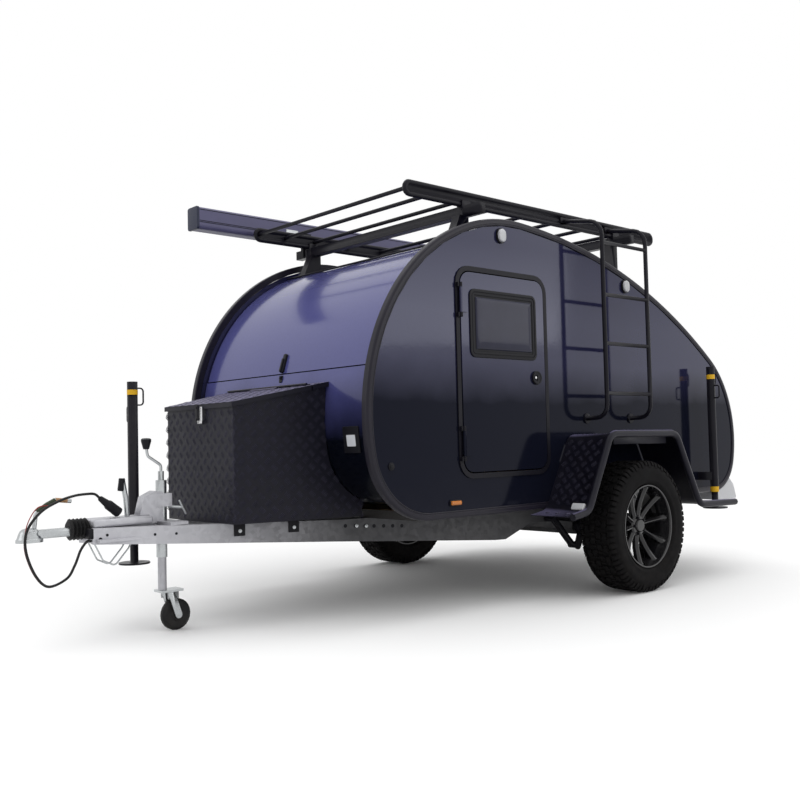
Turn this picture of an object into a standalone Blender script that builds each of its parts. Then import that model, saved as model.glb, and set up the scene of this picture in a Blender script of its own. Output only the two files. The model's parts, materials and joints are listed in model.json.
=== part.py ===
"""Off-road teardrop trailer, parked on its two wheels and its jockey wheel.

Metres, +X forward to the coupling, +Y to the trailer's left, +Z up, floor at Z = 0.
Every length below is measured from the axle line; one empty carries the whole trailer,
so that the world's origin is on the floor under the middle of its length and width.
"""
import math

import bmesh
import bpy
from mathutils import Matrix, Vector

# Place of the axle line along the world's X
AXLE_X = -0.742

# Running clearances
TOUCH = 0.0003
MOVING_GAP = 0.006

# Teardrop side outline: sill start, sill height, and the radius and turn of each tangent arc
SILL_START_X = 1.311
SILL_Z = 0.455
TEARDROP_RADII = (0.361, 0.986, 3.493, 0.603, 0.251)
TEARDROP_TURNS_DEG = (79.7, 103.9, 31.4, 69.2, 75.8)
ARC_STEP_DEG = 9.0

# Body shell
BODY_HALF_WIDTH = 0.753
WALL_THICKNESS = 0.030
SKIN_THICKNESS = 0.028
SKIN_INSET = 0.062
TRIM_WIDTH = 0.036
TRIM_PROUD = 0.006
FLOOR_THICKNESS = 0.040
BULKHEAD_X = -0.620
BULKHEAD_THICKNESS = 0.018

# Headings, in degrees along the outline, where the panels between the walls meet
SEAM_NOSE = 12.0
SEAM_FRONT_HATCH = 104.8
SEAM_FRONT_HINGE = 157.8
SEAM_REAR_HINGE = 208.2
SEAM_REAR_HATCH = 292.0
SEAM_TAIL = 350.0
SEAM_HALF_GAP = 0.18
SEAM_REAR_GAP = 0.05
SEAM_BOTTOM_GAP = 1.2
LONG_HINGE_RADIUS = 0.0055
LONG_HINGE_LIFT = 0.0015
LONG_HINGE_LEAF = 0.022

# Doors
DOOR_FRONT_X = 1.123
DOOR_REAR_X = 0.459
DOOR_BOTTOM_Z = 0.634
DOOR_TOP_Z = 1.648
DOOR_CORNER_RADIUS = 0.090
DOOR_FRAME_WIDTH = 0.024
DOOR_FRAME_PROUD = 0.007
DOOR_LEAF_PROUD = 0.009
HINGE_KNUCKLE_RADIUS = 0.008
HINGE_KNUCKLE_HEIGHT = 0.120
HINGE_KNUCKLES_Z = (0.800, 1.480)
HINGE_END_HEIGHT = 0.022
WINDOW_REAR_X = 0.553
WINDOW_FRONT_X = 1.037
WINDOW_BOTTOM_Z = 1.210
WINDOW_TOP_Z = 1.540
WINDOW_CORNER_RADIUS = 0.035
WINDOW_FRAME_WIDTH = 0.030
WINDOW_FRAME_PROUD = 0.010
LOCK_X = 0.560
LOCK_Z = 1.123
LOCK_RADIUS = 0.032
LOCK_PROUD = 0.018

# Chassis
BEAM_WIDTH = 0.050
BEAM_FRONT_X = 2.600
BEAM_FRONT_Y = 0.045
BEAM_REAR_X = 0.300
BEAM_REAR_Y = BODY_HALF_WIDTH - 0.163
BEAM_NOSE_Z = (0.420, 0.488)
BEAM_TOP_Z = 0.4545
BEAM_DEEP_X = 1.500
BEAM_DEEP_Z = 0.352
BEAM_BELLY_X = 0.640
BEAM_BELLY_Z = 0.296
BEAM_STEP_X = 0.420
BEAM_STEP_Z = 0.372
RAIL_HEIGHT = 0.060
RAIL_REAR_X = -1.080
CROSS_MEMBERS_X = (-0.300, -0.980)

# Wheels and axle
WHEEL_RADIUS = 0.343
TYRE_WIDTH = 0.215
AXLE_OVERHANG = 0.075
AXLE_TUBE_HALF = BEAM_REAR_Y + BEAM_WIDTH / 2 + AXLE_OVERHANG
HUB_STACK = 0.351
TYRE_OUTER_Y = AXLE_TUBE_HALF + HUB_STACK
RIM_RADIUS = 0.216
RIM_WELL_RADIUS = 0.186
RIM_LIP = 0.012
SPOKE_COUNT = 10
SPOKE_PHASE_DEG = 8.0
SPOKE_WIDTH = 0.016
HUB_RADIUS = 0.052
HUB_FACE_INSET = 0.055
DRUM_RADIUS = 0.100
DRUM_DEPTH = 0.055
SPINDLE_RADIUS = 0.020
SPINDLE_CLEARANCE = 0.0008
AXLE_TUBE_RADIUS = 0.052
AXLE_TUBE_X = 0.165
ARM_THICKNESS = 0.034
ARM_WIDTH = 0.080
SHOCK_RADIUS = 0.019
SHOCK_Y = AXLE_TUBE_HALF - 0.032
SHOCK_TOP = (0.330, 0.388)
SHOCK_FOOT = (0.180, 0.240)
SHOCK_EYE_RADIUS = 0.018
ARM_LUG_RADIUS = 0.024

# Coupling: its handle's points are measured ahead of the beams' front end
NOSE_REACH = 0.295
COUPLING_Z = 0.474
COUPLING_WIDTH = 0.084
COUPLING_NECK_WIDTH = 0.052
COUPLING_NECK_LENGTH = 0.160
HANDLE_RADIUS = 0.009
HANDLE_ROUTE = ((0.224, 0.485), (0.215, 0.562), (0.170, 0.594), (0.135, 0.611), (0.068, 0.603))
BALL_DIAMETER = 0.050
BALL_INSET = 0.052
BELLOWS_RINGS = 5
BELLOWS_RADII = (0.034, 0.046)
COVER_LENGTH = 0.270
COVER_HALF_WIDTH = 0.075
COVER_HEIGHT = 0.034
LEVER_RADIUS = 0.012
LEVER_ROUTE = ((-0.182, 0.0355), (-0.176, 0.112), (-0.160, 0.198))

# Jockey wheel, lowered to the floor
JOCKEY_OUTER_RADIUS = 0.024
JOCKEY_INNER_RADIUS = 0.019
JOCKEY_TUBE_TOP_Z = 0.671
JOCKEY_SCREW_TOP_Z = 0.711
JOCKEY_SCREW_RADIUS = 0.013
JOCKEY_TUBE_BOTTOM_Z = 0.330
JOCKEY_WHEEL_RADIUS = 0.070
JOCKEY_WHEEL_WIDTH = 0.046
JOCKEY_TRAIL = 0.062
JOCKEY_SWIVEL_Z = 0.185
JOCKEY_AHEAD_OF_BOX = 0.195
CRANK_RADIUS = 0.0065
CRANK_ROUTE = ((0.0, 0.705), (0.0, 0.738), (0.064, 0.780), (0.070, 0.817))
CRANK_KNOB_RADII = (0.012, 0.022)
CRANK_KNOB_Z = (0.811, 0.856)
BRIDGE_HALF_WIDTH = 0.150
BRIDGE_BACK = 0.050
BRIDGE_AHEAD = 0.035
BRIDGE_THICKNESS = 0.014
RING_HALF_LENGTH = 0.032
RING_HALF_WIDTH = 0.040
RING_Z = (0.555, 0.613)
CASTING_HALF_WIDTH = 0.028
CASTING_OUTLINE = ((0.007, 0.485), (0.073, 0.485), (0.073, 0.5235), (0.117, 0.5235), (0.097, 0.601),
                   (0.042, 0.626), (0.007, 0.620))

# Toolbox on the drawbar
BOX_FRONT_X = 2.060
BOX_REAR_GAP = 0.006
BOX_FRONT_HALF = 0.295
BOX_REAR_HALF = 0.388
BOX_FRONT_TOP_Z = 0.990
BOX_REAR_TOP_Z = 1.082
BOX_WALL = 0.004
BOX_LID_HINGE_X = BOX_FRONT_X - 0.370
BOX_TAPER_LENGTH = 0.460
BOX_LID_THICKNESS = 0.022
BOX_LID_LAP = 0.012

# Fenders
FENDER_TUBE_RADIUS = 0.019
FENDER_PLATE = 0.004
FENDER_OUTER_Y = TYRE_OUTER_Y
FENDER_FRONT_FOOT = (0.630, 0.432)
FENDER_FRONT_KNEE = (0.505, 0.452)
FENDER_TOP_FRONT = (0.305, 0.830)
FENDER_TOP_REAR = (-0.292, 0.826)
FENDER_REAR_KNEE = (-0.512, 0.424)
FENDER_SHELF_END = (-0.900, 0.416)
FENDER_LIP_DROP = 0.054
FENDER_LIP_INSET = 0.060
FENDER_LIP_THICKNESS = 0.005

# Roof rack
RACK_Y = BODY_HALF_WIDTH - 0.121
RACK_FRONT_X = 1.327
RACK_REAR_X = -0.732
RACK_LIFT = 0.16107
RACK_HALF_HEIGHT = 0.042
RACK_TUBE_RADIUS = 0.013
RACK_CROSS_RADIUS = 0.011
RACK_SHEET = 0.005
RACK_CROSS_X = (1.290, 1.110, 0.900, 0.640, 0.380, 0.120, -0.160, -0.430, -0.690)
RACK_BEAMS_X = (0.920, -0.330)
RACK_BEAM_WIDTH = 0.045
RACK_BEAM_HEIGHT = 0.050
RACK_BEAM_HALF = RACK_Y + 0.125
RACK_CLAMP_HALF = 0.020
RACK_CLAMP_DROP = 0.010
RACK_FOOT_LENGTH = 0.140
RACK_FOOT_Y = RACK_Y - 0.022
RACK_FOOT_WIDTH = 0.050

# Awning case along the right rail
AWNING_FRONT_X = 1.645
AWNING_REAR_X = -0.855
AWNING_INNER_Y = -RACK_Y - 0.068
AWNING_DEPTH = 0.105
AWNING_HEIGHT = 0.125
AWNING_ABOVE_RACK = 0.006

# Ladder on the left rail
LADDER_FRONT_X = 0.140
LADDER_REAR_X = -0.262
LADDER_Y = BODY_HALF_WIDTH + 0.137
LADDER_TUBE_RADIUS = 0.012
LADDER_RUNG_RADIUS = 0.0105
LADDER_FOOT_Z = 0.920
LADDER_TOP_DROP = 0.006
LADDER_BEND_DROP = 0.050
LADDER_BEND_RADIUS = 0.090
LADDER_FOOT_DROP = 0.004
LADDER_FLANGE_RADIUS = 0.027
LADDER_PLATE_HALF_LENGTH = 0.030
LADDER_PLATE_HALF_HEIGHT = 0.015
LADDER_PLATE_DEPTH = 0.010
LADDER_RUNGS_Z = (1.850, 1.570, 1.310, 1.045)

# Stabiliser legs: name, x, y, height of the tube's foot end and of its top
LEG_OUT_Y = BODY_HALF_WIDTH + 0.092
LEG_TABLE = (
    ("front", BOX_FRONT_X + 0.180, -0.300, 0.402, 1.130),
    ("rear_left", -0.985, LEG_OUT_Y, 0.470, 1.225),
    ("rear_right", -0.985, -LEG_OUT_Y, 0.470, 1.225),
)
LEG_OUTER_RADIUS = 0.0245
LEG_INNER_RADIUS = 0.019
LEG_FOOT_RADIUS = 0.072
LEG_FOOT_THICKNESS = 0.006
LEG_FOOT_Z = {"front": 0.280, "rear": 0.372}
LEG_CLAMP_Z = (0.536, 0.584)

# Tail lamps: the part of the body's rear lower corner that the lens covers, and its outer points
TAIL_LAMP_FRONT_X = -1.180
TAIL_LAMP_TOP_Z = 0.545
TAIL_LAMP_OUTER = ((-1.190, 0.400), (-1.402, 0.400), (-1.411, 0.410), (-1.380, 0.490), (-1.336, 0.528))
TAIL_LAMP_OUT_Y = BODY_HALF_WIDTH - 0.003
TAIL_LAMP_WIDTH = 0.190

# Trailer lead and breakaway cable: hand-chosen routes, x measured ahead of the beams' front end
LEAD_RADIUS = 0.0055
LEAD_SPACING = 0.028
LEAD_ROUTE = ((0.0035, 0.050, 0.434), (0.022, 0.050, 0.433), (0.05, 0.051, 0.400), (0.076, 0.052, 0.340),
              (0.112, 0.054, 0.290),
              (0.19, 0.060, 0.268), (0.245, 0.066, 0.322), (0.282, 0.070, 0.420), (0.276, 0.070, 0.500),
              (0.22, 0.068, 0.570), (0.145, 0.060, 0.608), (0.075, 0.050, 0.626), (0.015, 0.036, 0.630))
PLUG_START = (-0.047, 0.021, 0.610)
PLUG_END = (-0.138, 0.012, 0.5405)
PLUG_RADIUS = 0.022
BREAKAWAY_RADIUS = 0.002
BREAKAWAY_SPACING = 0.012
BREAKAWAY_ROUTE = ((-0.0003, 0.038, 0.434), (0.016, 0.038, 0.433), (0.046, 0.039, 0.400), (0.073, 0.040, 0.338),
                   (0.112, 0.041, 0.288),
                   (0.19, 0.047, 0.266), (0.245, 0.053, 0.320), (0.282, 0.057, 0.418), (0.276, 0.054, 0.500),
                   (0.25, 0.045, 0.556), (0.215, 0.032, 0.588))

# Colours (red, green, blue), roughness, metallic
FINISHES = {
    "wall_paint": ((0.055, 0.064, 0.088), 0.16, 0.0),
    "edge_trim": ((0.022, 0.018, 0.019), 0.38, 0.0),
    "skin_paint": ((0.052, 0.072, 0.105), 0.20, 0.0),
    "black_coat": ((0.016, 0.016, 0.019), 0.40, 0.0),
    "diamond_plate": ((0.020, 0.020, 0.025), 0.45, 0.2),
    "galvanised": ((0.62, 0.63, 0.65), 0.42, 0.9),
    "rubber": ((0.020, 0.020, 0.021), 0.75, 0.0),
    "rim_black": ((0.012, 0.012, 0.014), 0.18, 0.3),
    "glass": ((0.012, 0.013, 0.017), 0.05, 0.0),
    "plywood": ((0.42, 0.30, 0.18), 0.55, 0.0),
    "lamp_clear": ((0.85, 0.86, 0.88), 0.15, 0.0),
    "cable_black": ((0.018, 0.018, 0.018), 0.55, 0.0),
    "cable_red": ((0.35, 0.02, 0.02), 0.45, 0.0),
}


# Scene, materials and primitive shapes

def empty_the_scene():
    for item in list(bpy.data.objects):
        bpy.data.objects.remove(item, do_unlink=True)


def new_collection(name):
    group = bpy.data.collections.new(name)
    bpy.context.scene.collection.children.link(group)
    return group


def finish(name):
    """The named finish as a material, made once."""
    if name in bpy.data.materials:
        return bpy.data.materials[name]
    colour, roughness, metallic = FINISHES[name]
    material = bpy.data.materials.new(name)
    material.use_nodes = True
    shader = material.node_tree.nodes["Principled BSDF"]
    shader.inputs["Base Color"].default_value = (*colour, 1.0)
    shader.inputs["Roughness"].default_value = roughness
    shader.inputs["Metallic"].default_value = metallic
    material.diffuse_color = (*colour, 1.0)
    return material


def add(name, mesh, finish_name, smooth=False):
    """Put a mesh in the trailer's collection as a named object."""
    piece = bpy.data.objects.new(name, mesh)
    TRAILER.objects.link(piece)
    mesh.materials.clear()
    mesh.materials.append(finish(finish_name))
    if smooth:
        mesh.shade_smooth()
        mesh.set_sharp_from_angle(angle=math.radians(35))
    return piece


def from_bmesh(name, shape, finish_name, smooth=False):
    bmesh.ops.recalc_face_normals(shape, faces=shape.faces)
    mesh = bpy.data.meshes.new(name)
    shape.to_mesh(mesh)
    shape.free()
    return add(name, mesh, finish_name, smooth)


def box(name, low, high, finish_name):
    """A block between two corners."""
    shape = bmesh.new()
    bmesh.ops.create_cube(shape, size=1.0)
    low, high = Vector(low), Vector(high)
    for vertex in shape.verts:
        vertex.co = Vector((low[i] + (vertex.co[i] + 0.5) * (high[i] - low[i]) for i in range(3)))
    return from_bmesh(name, shape, finish_name)


def rod(name, start, end, radius, finish_name, sides=16, end_radius=None):
    """A round bar, or a cone where end_radius is given, between two points."""
    start, end = Vector(start), Vector(end)
    shape = bmesh.new()
    bmesh.ops.create_cone(shape, cap_ends=True, segments=sides, radius1=radius,
                          radius2=radius if end_radius is None else end_radius,
                          depth=(end - start).length)
    turn = Vector((0, 0, 1)).rotation_difference(end - start).to_matrix().to_4x4()
    bmesh.ops.transform(shape, matrix=Matrix.Translation((start + end) / 2) @ turn, verts=shape.verts)
    return from_bmesh(name, shape, finish_name, smooth=True)


def curve_to_mesh(name, curve, finish_name, placed=Matrix.Identity(4), smooth=False):
    """Turn a curve's shape into a closed mesh object."""
    guide = bpy.data.objects.new(name + "_curve", curve)
    guide.matrix_world = placed
    bpy.context.scene.collection.objects.link(guide)
    bpy.context.view_layer.update()
    evaluated = guide.evaluated_get(bpy.context.evaluated_depsgraph_get())
    mesh = bpy.data.meshes.new_from_object(evaluated)
    mesh.transform(placed)
    bpy.data.objects.remove(guide, do_unlink=True)
    shape = bmesh.new()
    shape.from_mesh(mesh)
    bpy.data.meshes.remove(mesh)
    bmesh.ops.remove_doubles(shape, verts=shape.verts, dist=0.00002)
    return from_bmesh(name, shape, finish_name, smooth)


# Planes for flat pieces: an outline's (across, up) and the extrusion's direction
PLANES = {
    "xz": Matrix.Rotation(math.pi / 2, 4, "X"),
    "xy": Matrix.Identity(4),
    "yz": Matrix.Rotation(math.pi / 2, 4, "Z") @ Matrix.Rotation(math.pi / 2, 4, "X"),
}
PLANE_NORMALS = {"xz": Vector((0, 1, 0)), "xy": Vector((0, 0, 1)), "yz": Vector((1, 0, 0))}


def flat(name, outlines, plane, low, high, finish_name):
    """A flat piece: closed outlines, inner ones as holes, extruded from low to high."""
    curve = bpy.data.curves.new(name, "CURVE")
    curve.dimensions = "2D"
    curve.fill_mode = "BOTH"
    curve.extrude = abs(high - low) / 2
    for outline in outlines:
        spline = curve.splines.new("POLY")
        spline.points.add(len(outline) - 1)
        for point, (across, up) in zip(spline.points, outline):
            point.co = (across, up, 0, 1)
        spline.use_cyclic_u = True
    middle = PLANE_NORMALS[plane] * (low + high) / 2
    return curve_to_mesh(name, curve, finish_name, Matrix.Translation(middle) @ PLANES[plane])


def tube(name, points, radius, finish_name, closed=False, rings=2):
    """A round tube along a chain of points."""
    curve = bpy.data.curves.new(name, "CURVE")
    curve.dimensions = "3D"
    curve.bevel_depth = radius
    curve.bevel_resolution = rings
    curve.use_fill_caps = not closed
    spline = curve.splines.new("POLY")
    spline.points.add(len(points) - 1)
    for point, place in zip(spline.points, points):
        point.co = (*place, 1)
    spline.use_cyclic_u = closed
    return curve_to_mesh(name, curve, finish_name, smooth=True)


def boolean(piece, other, operation):
    """Join or cut a piece with another, which is used up."""
    step = piece.modifiers.new(operation.lower(), "BOOLEAN")
    step.operation = operation
    step.solver = "EXACT"
    step.object = other
    bpy.context.view_layer.update()
    evaluated = piece.evaluated_get(bpy.context.evaluated_depsgraph_get())
    mesh = bpy.data.meshes.new_from_object(evaluated)
    piece.modifiers.clear()
    old = piece.data
    piece.data = mesh
    bpy.data.meshes.remove(old)
    bpy.data.objects.remove(other, do_unlink=True)


def join(piece, *others):
    for other in others:
        boolean(piece, other, "UNION")
    return piece


def cut(piece, *others):
    for other in others:
        boolean(piece, other, "DIFFERENCE")
    return piece


def mirrored(piece, name):
    """The same piece on the trailer's other side."""
    shape = bmesh.new()
    shape.from_mesh(piece.data)
    bmesh.ops.scale(shape, vec=(1, -1, 1), verts=shape.verts)
    bmesh.ops.reverse_faces(shape, faces=shape.faces)
    mesh = bpy.data.meshes.new(name)
    shape.to_mesh(mesh)
    shape.free()
    twin = bpy.data.objects.new(name, mesh)
    TRAILER.objects.link(twin)
    mesh.materials.append(piece.data.materials[0])
    return twin


def pivot(piece, place):
    """Put a moving piece's origin on its joint's axis."""
    piece.data.transform(Matrix.Translation(-Vector(place)))
    piece.location = place
    return piece


def turned(name, profile, axis, finish_name, steps=48, place=(0, 0, 0)):
    """A solid of revolution about X, Y or Z: (radius, along) points of a closed profile."""
    mesh = bpy.data.meshes.new(name)
    around = [(i, (i + 1) % len(profile)) for i in range(len(profile))]
    edges = [(i, j) for i, j in around if profile[i][0] > 0 or profile[j][0] > 0]
    mesh.from_pydata([(radius, 0, along) for radius, along in profile], edges, [])
    guide = bpy.data.objects.new(name + "_profile", mesh)
    bpy.context.scene.collection.objects.link(guide)
    screw = guide.modifiers.new("turn", "SCREW")
    screw.steps = screw.render_steps = steps
    screw.use_merge_vertices = True
    screw.merge_threshold = 0.00002
    bpy.context.view_layer.update()
    evaluated = guide.evaluated_get(bpy.context.evaluated_depsgraph_get())
    solid = bpy.data.meshes.new_from_object(evaluated)
    bpy.data.objects.remove(guide, do_unlink=True)
    turn = {"X": Matrix.Rotation(math.pi / 2, 4, "Y"), "Y": Matrix.Rotation(-math.pi / 2, 4, "X"),
            "Z": Matrix.Identity(4)}[axis]
    solid.transform(Matrix.Translation(place) @ turn)
    shape = bmesh.new()
    shape.from_mesh(solid)
    bpy.data.meshes.remove(solid)
    bmesh.ops.remove_doubles(shape, verts=shape.verts, dist=0.00002)
    return from_bmesh(name, shape, finish_name, smooth=True)


def arc(centre, radius, start_deg, end_deg, steps):
    """Points on a circle, ends included."""
    angles = [math.radians(start_deg + (end_deg - start_deg) * i / steps) for i in range(steps + 1)]
    return [(centre[0] + radius * math.cos(a), centre[1] + radius * math.sin(a)) for a in angles]


def rounded_rectangle(low, high, radius, steps=5):
    """Counter-clockwise outline of a rectangle with round corners."""
    corners = (((high[0] - radius, low[1] + radius), -90), ((high[0] - radius, high[1] - radius), 0),
               ((low[0] + radius, high[1] - radius), 90), ((low[0] + radius, low[1] + radius), 180))
    return [p for centre, start in corners for p in arc(centre, radius, start, start + 90, steps)]


def rounded_path(points, radius, steps=4):
    """A chain of 3-D points whose inner corners are rounded."""
    path = [Vector(points[0])]
    for before, corner, after in zip(points, points[1:], points[2:]):
        before, corner, after = Vector(before), Vector(corner), Vector(after)
        back, ahead = (before - corner).normalized(), (after - corner).normalized()
        half = back.angle(ahead) / 2
        setback = min(radius / math.tan(half), (before - corner).length * 0.49,
                      (after - corner).length * 0.49)
        fitted = setback * math.tan(half)
        centre = corner + (back + ahead).normalized() * (fitted / math.sin(half))
        start = (corner + back * setback - centre).normalized()
        end = (corner + ahead * setback - centre).normalized()
        for i in range(steps + 1):
            path.append(centre + start.slerp(end, i / steps) * fitted)
    path.append(Vector(points[-1]))
    return path


# The teardrop outline

def teardrop(inset, start_deg=0.0, end_deg=360.0):
    """Points (x, z) of the outline moved inwards, between two headings along it."""
    points = []
    x, z, heading = SILL_START_X, SILL_Z, 0.0
    for radius, sweep in zip(TEARDROP_RADII, TEARDROP_TURNS_DEG):
        turn = math.radians(heading)
        centre = (x - radius * math.sin(turn), z + radius * math.cos(turn))
        low, high = max(heading, start_deg), min(heading + sweep, end_deg)
        if high > low:
            steps = max(1, round((high - low) * max(1.0, radius ** 0.4) / ARC_STEP_DEG))
            points += arc(centre, radius - inset, low - 90, high - 90, steps)[1 if points else 0:]
        heading += sweep
        turn = math.radians(heading)
        x, z = centre[0] + radius * math.sin(turn), centre[1] - radius * math.cos(turn)
    return points


def outline_point(inset, heading):
    return teardrop(inset, heading, heading + 0.01)[0]


def band(inset, thickness, start_deg, end_deg):
    """A closed strip that follows the outline between two headings."""
    outer = teardrop(inset, start_deg, end_deg)
    inner = teardrop(inset + thickness, start_deg, end_deg)
    return outer + inner[::-1]


WALL_INNER_Y = BODY_HALF_WIDTH - WALL_THICKNESS
AXLE_TUBE_Z = BEAM_TOP_Z - RAIL_HEIGHT - TOUCH - AXLE_TUBE_RADIUS * math.cos(math.radians(22.5))
HINGE_Y = BODY_HALF_WIDTH + DOOR_LEAF_PROUD + HINGE_KNUCKLE_RADIUS + 0.001
HINGE_X = DOOR_FRONT_X - DOOR_FRAME_WIDTH
BOX_BOTTOM_Z = BEAM_TOP_Z + TOUCH + ((BEAM_NOSE_Z[1] - BEAM_TOP_Z) * (BOX_FRONT_X - BEAM_DEEP_X)
                                     / (BEAM_FRONT_X - BEAM_DEEP_X))
BEAM_SIDE = BEAM_WIDTH / 2 / math.cos(math.atan2(BEAM_REAR_Y - BEAM_FRONT_Y, BEAM_FRONT_X - BEAM_REAR_X))
ROOF_TOP_Z = max(z for x, z in teardrop(SKIN_INSET))
RACK_Z = ROOF_TOP_Z + RACK_LIFT
JOCKEY_X = BOX_FRONT_X + JOCKEY_AHEAD_OF_BOX
COVER_REAR_X = BEAM_FRONT_X - COVER_LENGTH
NOSE_X = BEAM_FRONT_X + NOSE_REACH


def door_outline(inset):
    return rounded_rectangle((DOOR_REAR_X + inset, DOOR_BOTTOM_Z + inset),
                             (DOOR_FRONT_X - inset, DOOR_TOP_Z - inset), DOOR_CORNER_RADIUS - inset)


def window_outline(inset):
    return rounded_rectangle((WINDOW_REAR_X + inset, WINDOW_BOTTOM_Z + inset),
                             (WINDOW_FRONT_X - inset, WINDOW_TOP_Z - inset),
                             max(WINDOW_CORNER_RADIUS - inset, 0.008))


# Body shell

def side_walls():
    wall = flat("side_wall_left", [teardrop(TRIM_WIDTH + TOUCH), door_outline(DOOR_FRAME_WIDTH / 2)],
                "xz", WALL_INNER_Y, BODY_HALF_WIDTH, "wall_paint")
    mirrored(wall, "side_wall_right")
    trim = flat("edge_trim_left", [teardrop(0.0), teardrop(TRIM_WIDTH)], "xz",
                WALL_INNER_Y - TRIM_PROUD, BODY_HALF_WIDTH + TRIM_PROUD, "edge_trim")
    round_edges(trim, 0.009, 1)
    mirrored(trim, "edge_trim_right")


def round_edges(piece, width, segments):
    """Round every edge sharper than 50 degrees."""
    step = piece.modifiers.new("round", "BEVEL")
    step.width = width
    step.segments = segments
    step.limit_method = "ANGLE"
    step.angle_limit = math.radians(50)
    bpy.context.view_layer.update()
    evaluated = piece.evaluated_get(bpy.context.evaluated_depsgraph_get())
    mesh = bpy.data.meshes.new_from_object(evaluated)
    piece.modifiers.clear()
    piece.data = mesh


def body_skins():
    """Fixed skins between the walls: name, start and end heading, finish."""
    reach = WALL_INNER_Y - TOUCH
    table = (
        ("nose_panel", SEAM_NOSE, SEAM_FRONT_HATCH - SEAM_HALF_GAP, "skin_paint"),
        ("roof_skin", SEAM_FRONT_HINGE + SEAM_HALF_GAP, SEAM_REAR_HINGE - SEAM_REAR_GAP, "skin_paint"),
        ("tail_panel", SEAM_REAR_HATCH + SEAM_BOTTOM_GAP, SEAM_TAIL, "skin_paint"),
    )
    for name, start, end, finish_name in table:
        flat(name, [band(SKIN_INSET, SKIN_THICKNESS, start, end)], "xz", -reach, reach, finish_name)


def cabin_floor():
    front = outline_point(SKIN_INSET, SEAM_NOSE)[0] - 0.010
    rear = outline_point(SKIN_INSET, SEAM_TAIL)[0] + 0.010
    floor_low = SILL_Z + TOUCH
    reach = WALL_INNER_Y - TRIM_PROUD - TOUCH
    box("cabin_floor", (rear, -reach, floor_low), (front, reach, floor_low + FLOOR_THICKNESS), "plywood")


def hinge_axis(surface, normal):
    """A long hinge's axis, just clear of the surface that it lies on."""
    return surface + normal * (LONG_HINGE_RADIUS + LONG_HINGE_LIFT)


def hinge_part(carrier, surface, along, y_low, y_high):
    """Barrel and leaf of a long hinge: along points over the carrier from the joint."""
    normal = Vector((-along.y, along.x))
    normal = normal if normal.y > 0 or abs(normal.y) < 0.01 else -normal
    axis = hinge_axis(surface, normal)
    outline = [axis, surface + along * LONG_HINGE_LEAF + normal * 0.003,
               surface + along * LONG_HINGE_LEAF - normal * 0.005, surface + along * 0.0045 - normal * 0.005]
    leaf = flat("leaf", [[tuple(p) for p in outline]], "xz", y_low + 0.001, y_high - 0.001, "black_coat")
    barrel = rod("barrel", (axis.x, y_low, axis.y), (axis.x, y_high, axis.y), LONG_HINGE_RADIUS, "black_coat", 10)
    join(carrier, leaf, barrel)
    return axis


def long_hinge(fixed, moving, surface, along_moving, along_fixed, reach):
    """A long hinge whose middle knuckle moves and whose two outer ones are fixed."""
    for low, high in ((-reach, -reach / 3 - TOUCH), (reach / 3 + TOUCH, reach)):
        hinge_part(fixed, surface, along_fixed, low, high)
    return hinge_part(moving, surface, along_moving, -reach / 3, reach / 3)


def hatch(name, start, end, hinge_heading, forward, finish_name):
    """A curved lid between the walls, hinged at its upper edge to the roof."""
    reach = WALL_INNER_Y - MOVING_GAP
    piece = flat(name, [band(SKIN_INSET, SKIN_THICKNESS, start, end)], "xz", -reach, reach, finish_name)
    surface = Vector(outline_point(SKIN_INSET, hinge_heading))
    turn = math.radians(hinge_heading)
    ahead = Vector((math.cos(turn), math.sin(turn))) * (-1 if forward else 1)
    axis = long_hinge(bpy.data.objects["roof_skin"], piece, surface, ahead, -ahead, reach - 0.010)
    return pivot(piece, (axis.x, 0, axis.y))


def hatches():
    hatch("front_hatch", SEAM_FRONT_HATCH + SEAM_HALF_GAP, SEAM_FRONT_HINGE - SEAM_HALF_GAP,
          SEAM_FRONT_HINGE, True, "skin_paint")
    hatch("rear_hatch", SEAM_REAR_HINGE + SEAM_REAR_GAP, SEAM_REAR_HATCH, SEAM_REAR_HINGE, False, "skin_paint")


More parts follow.
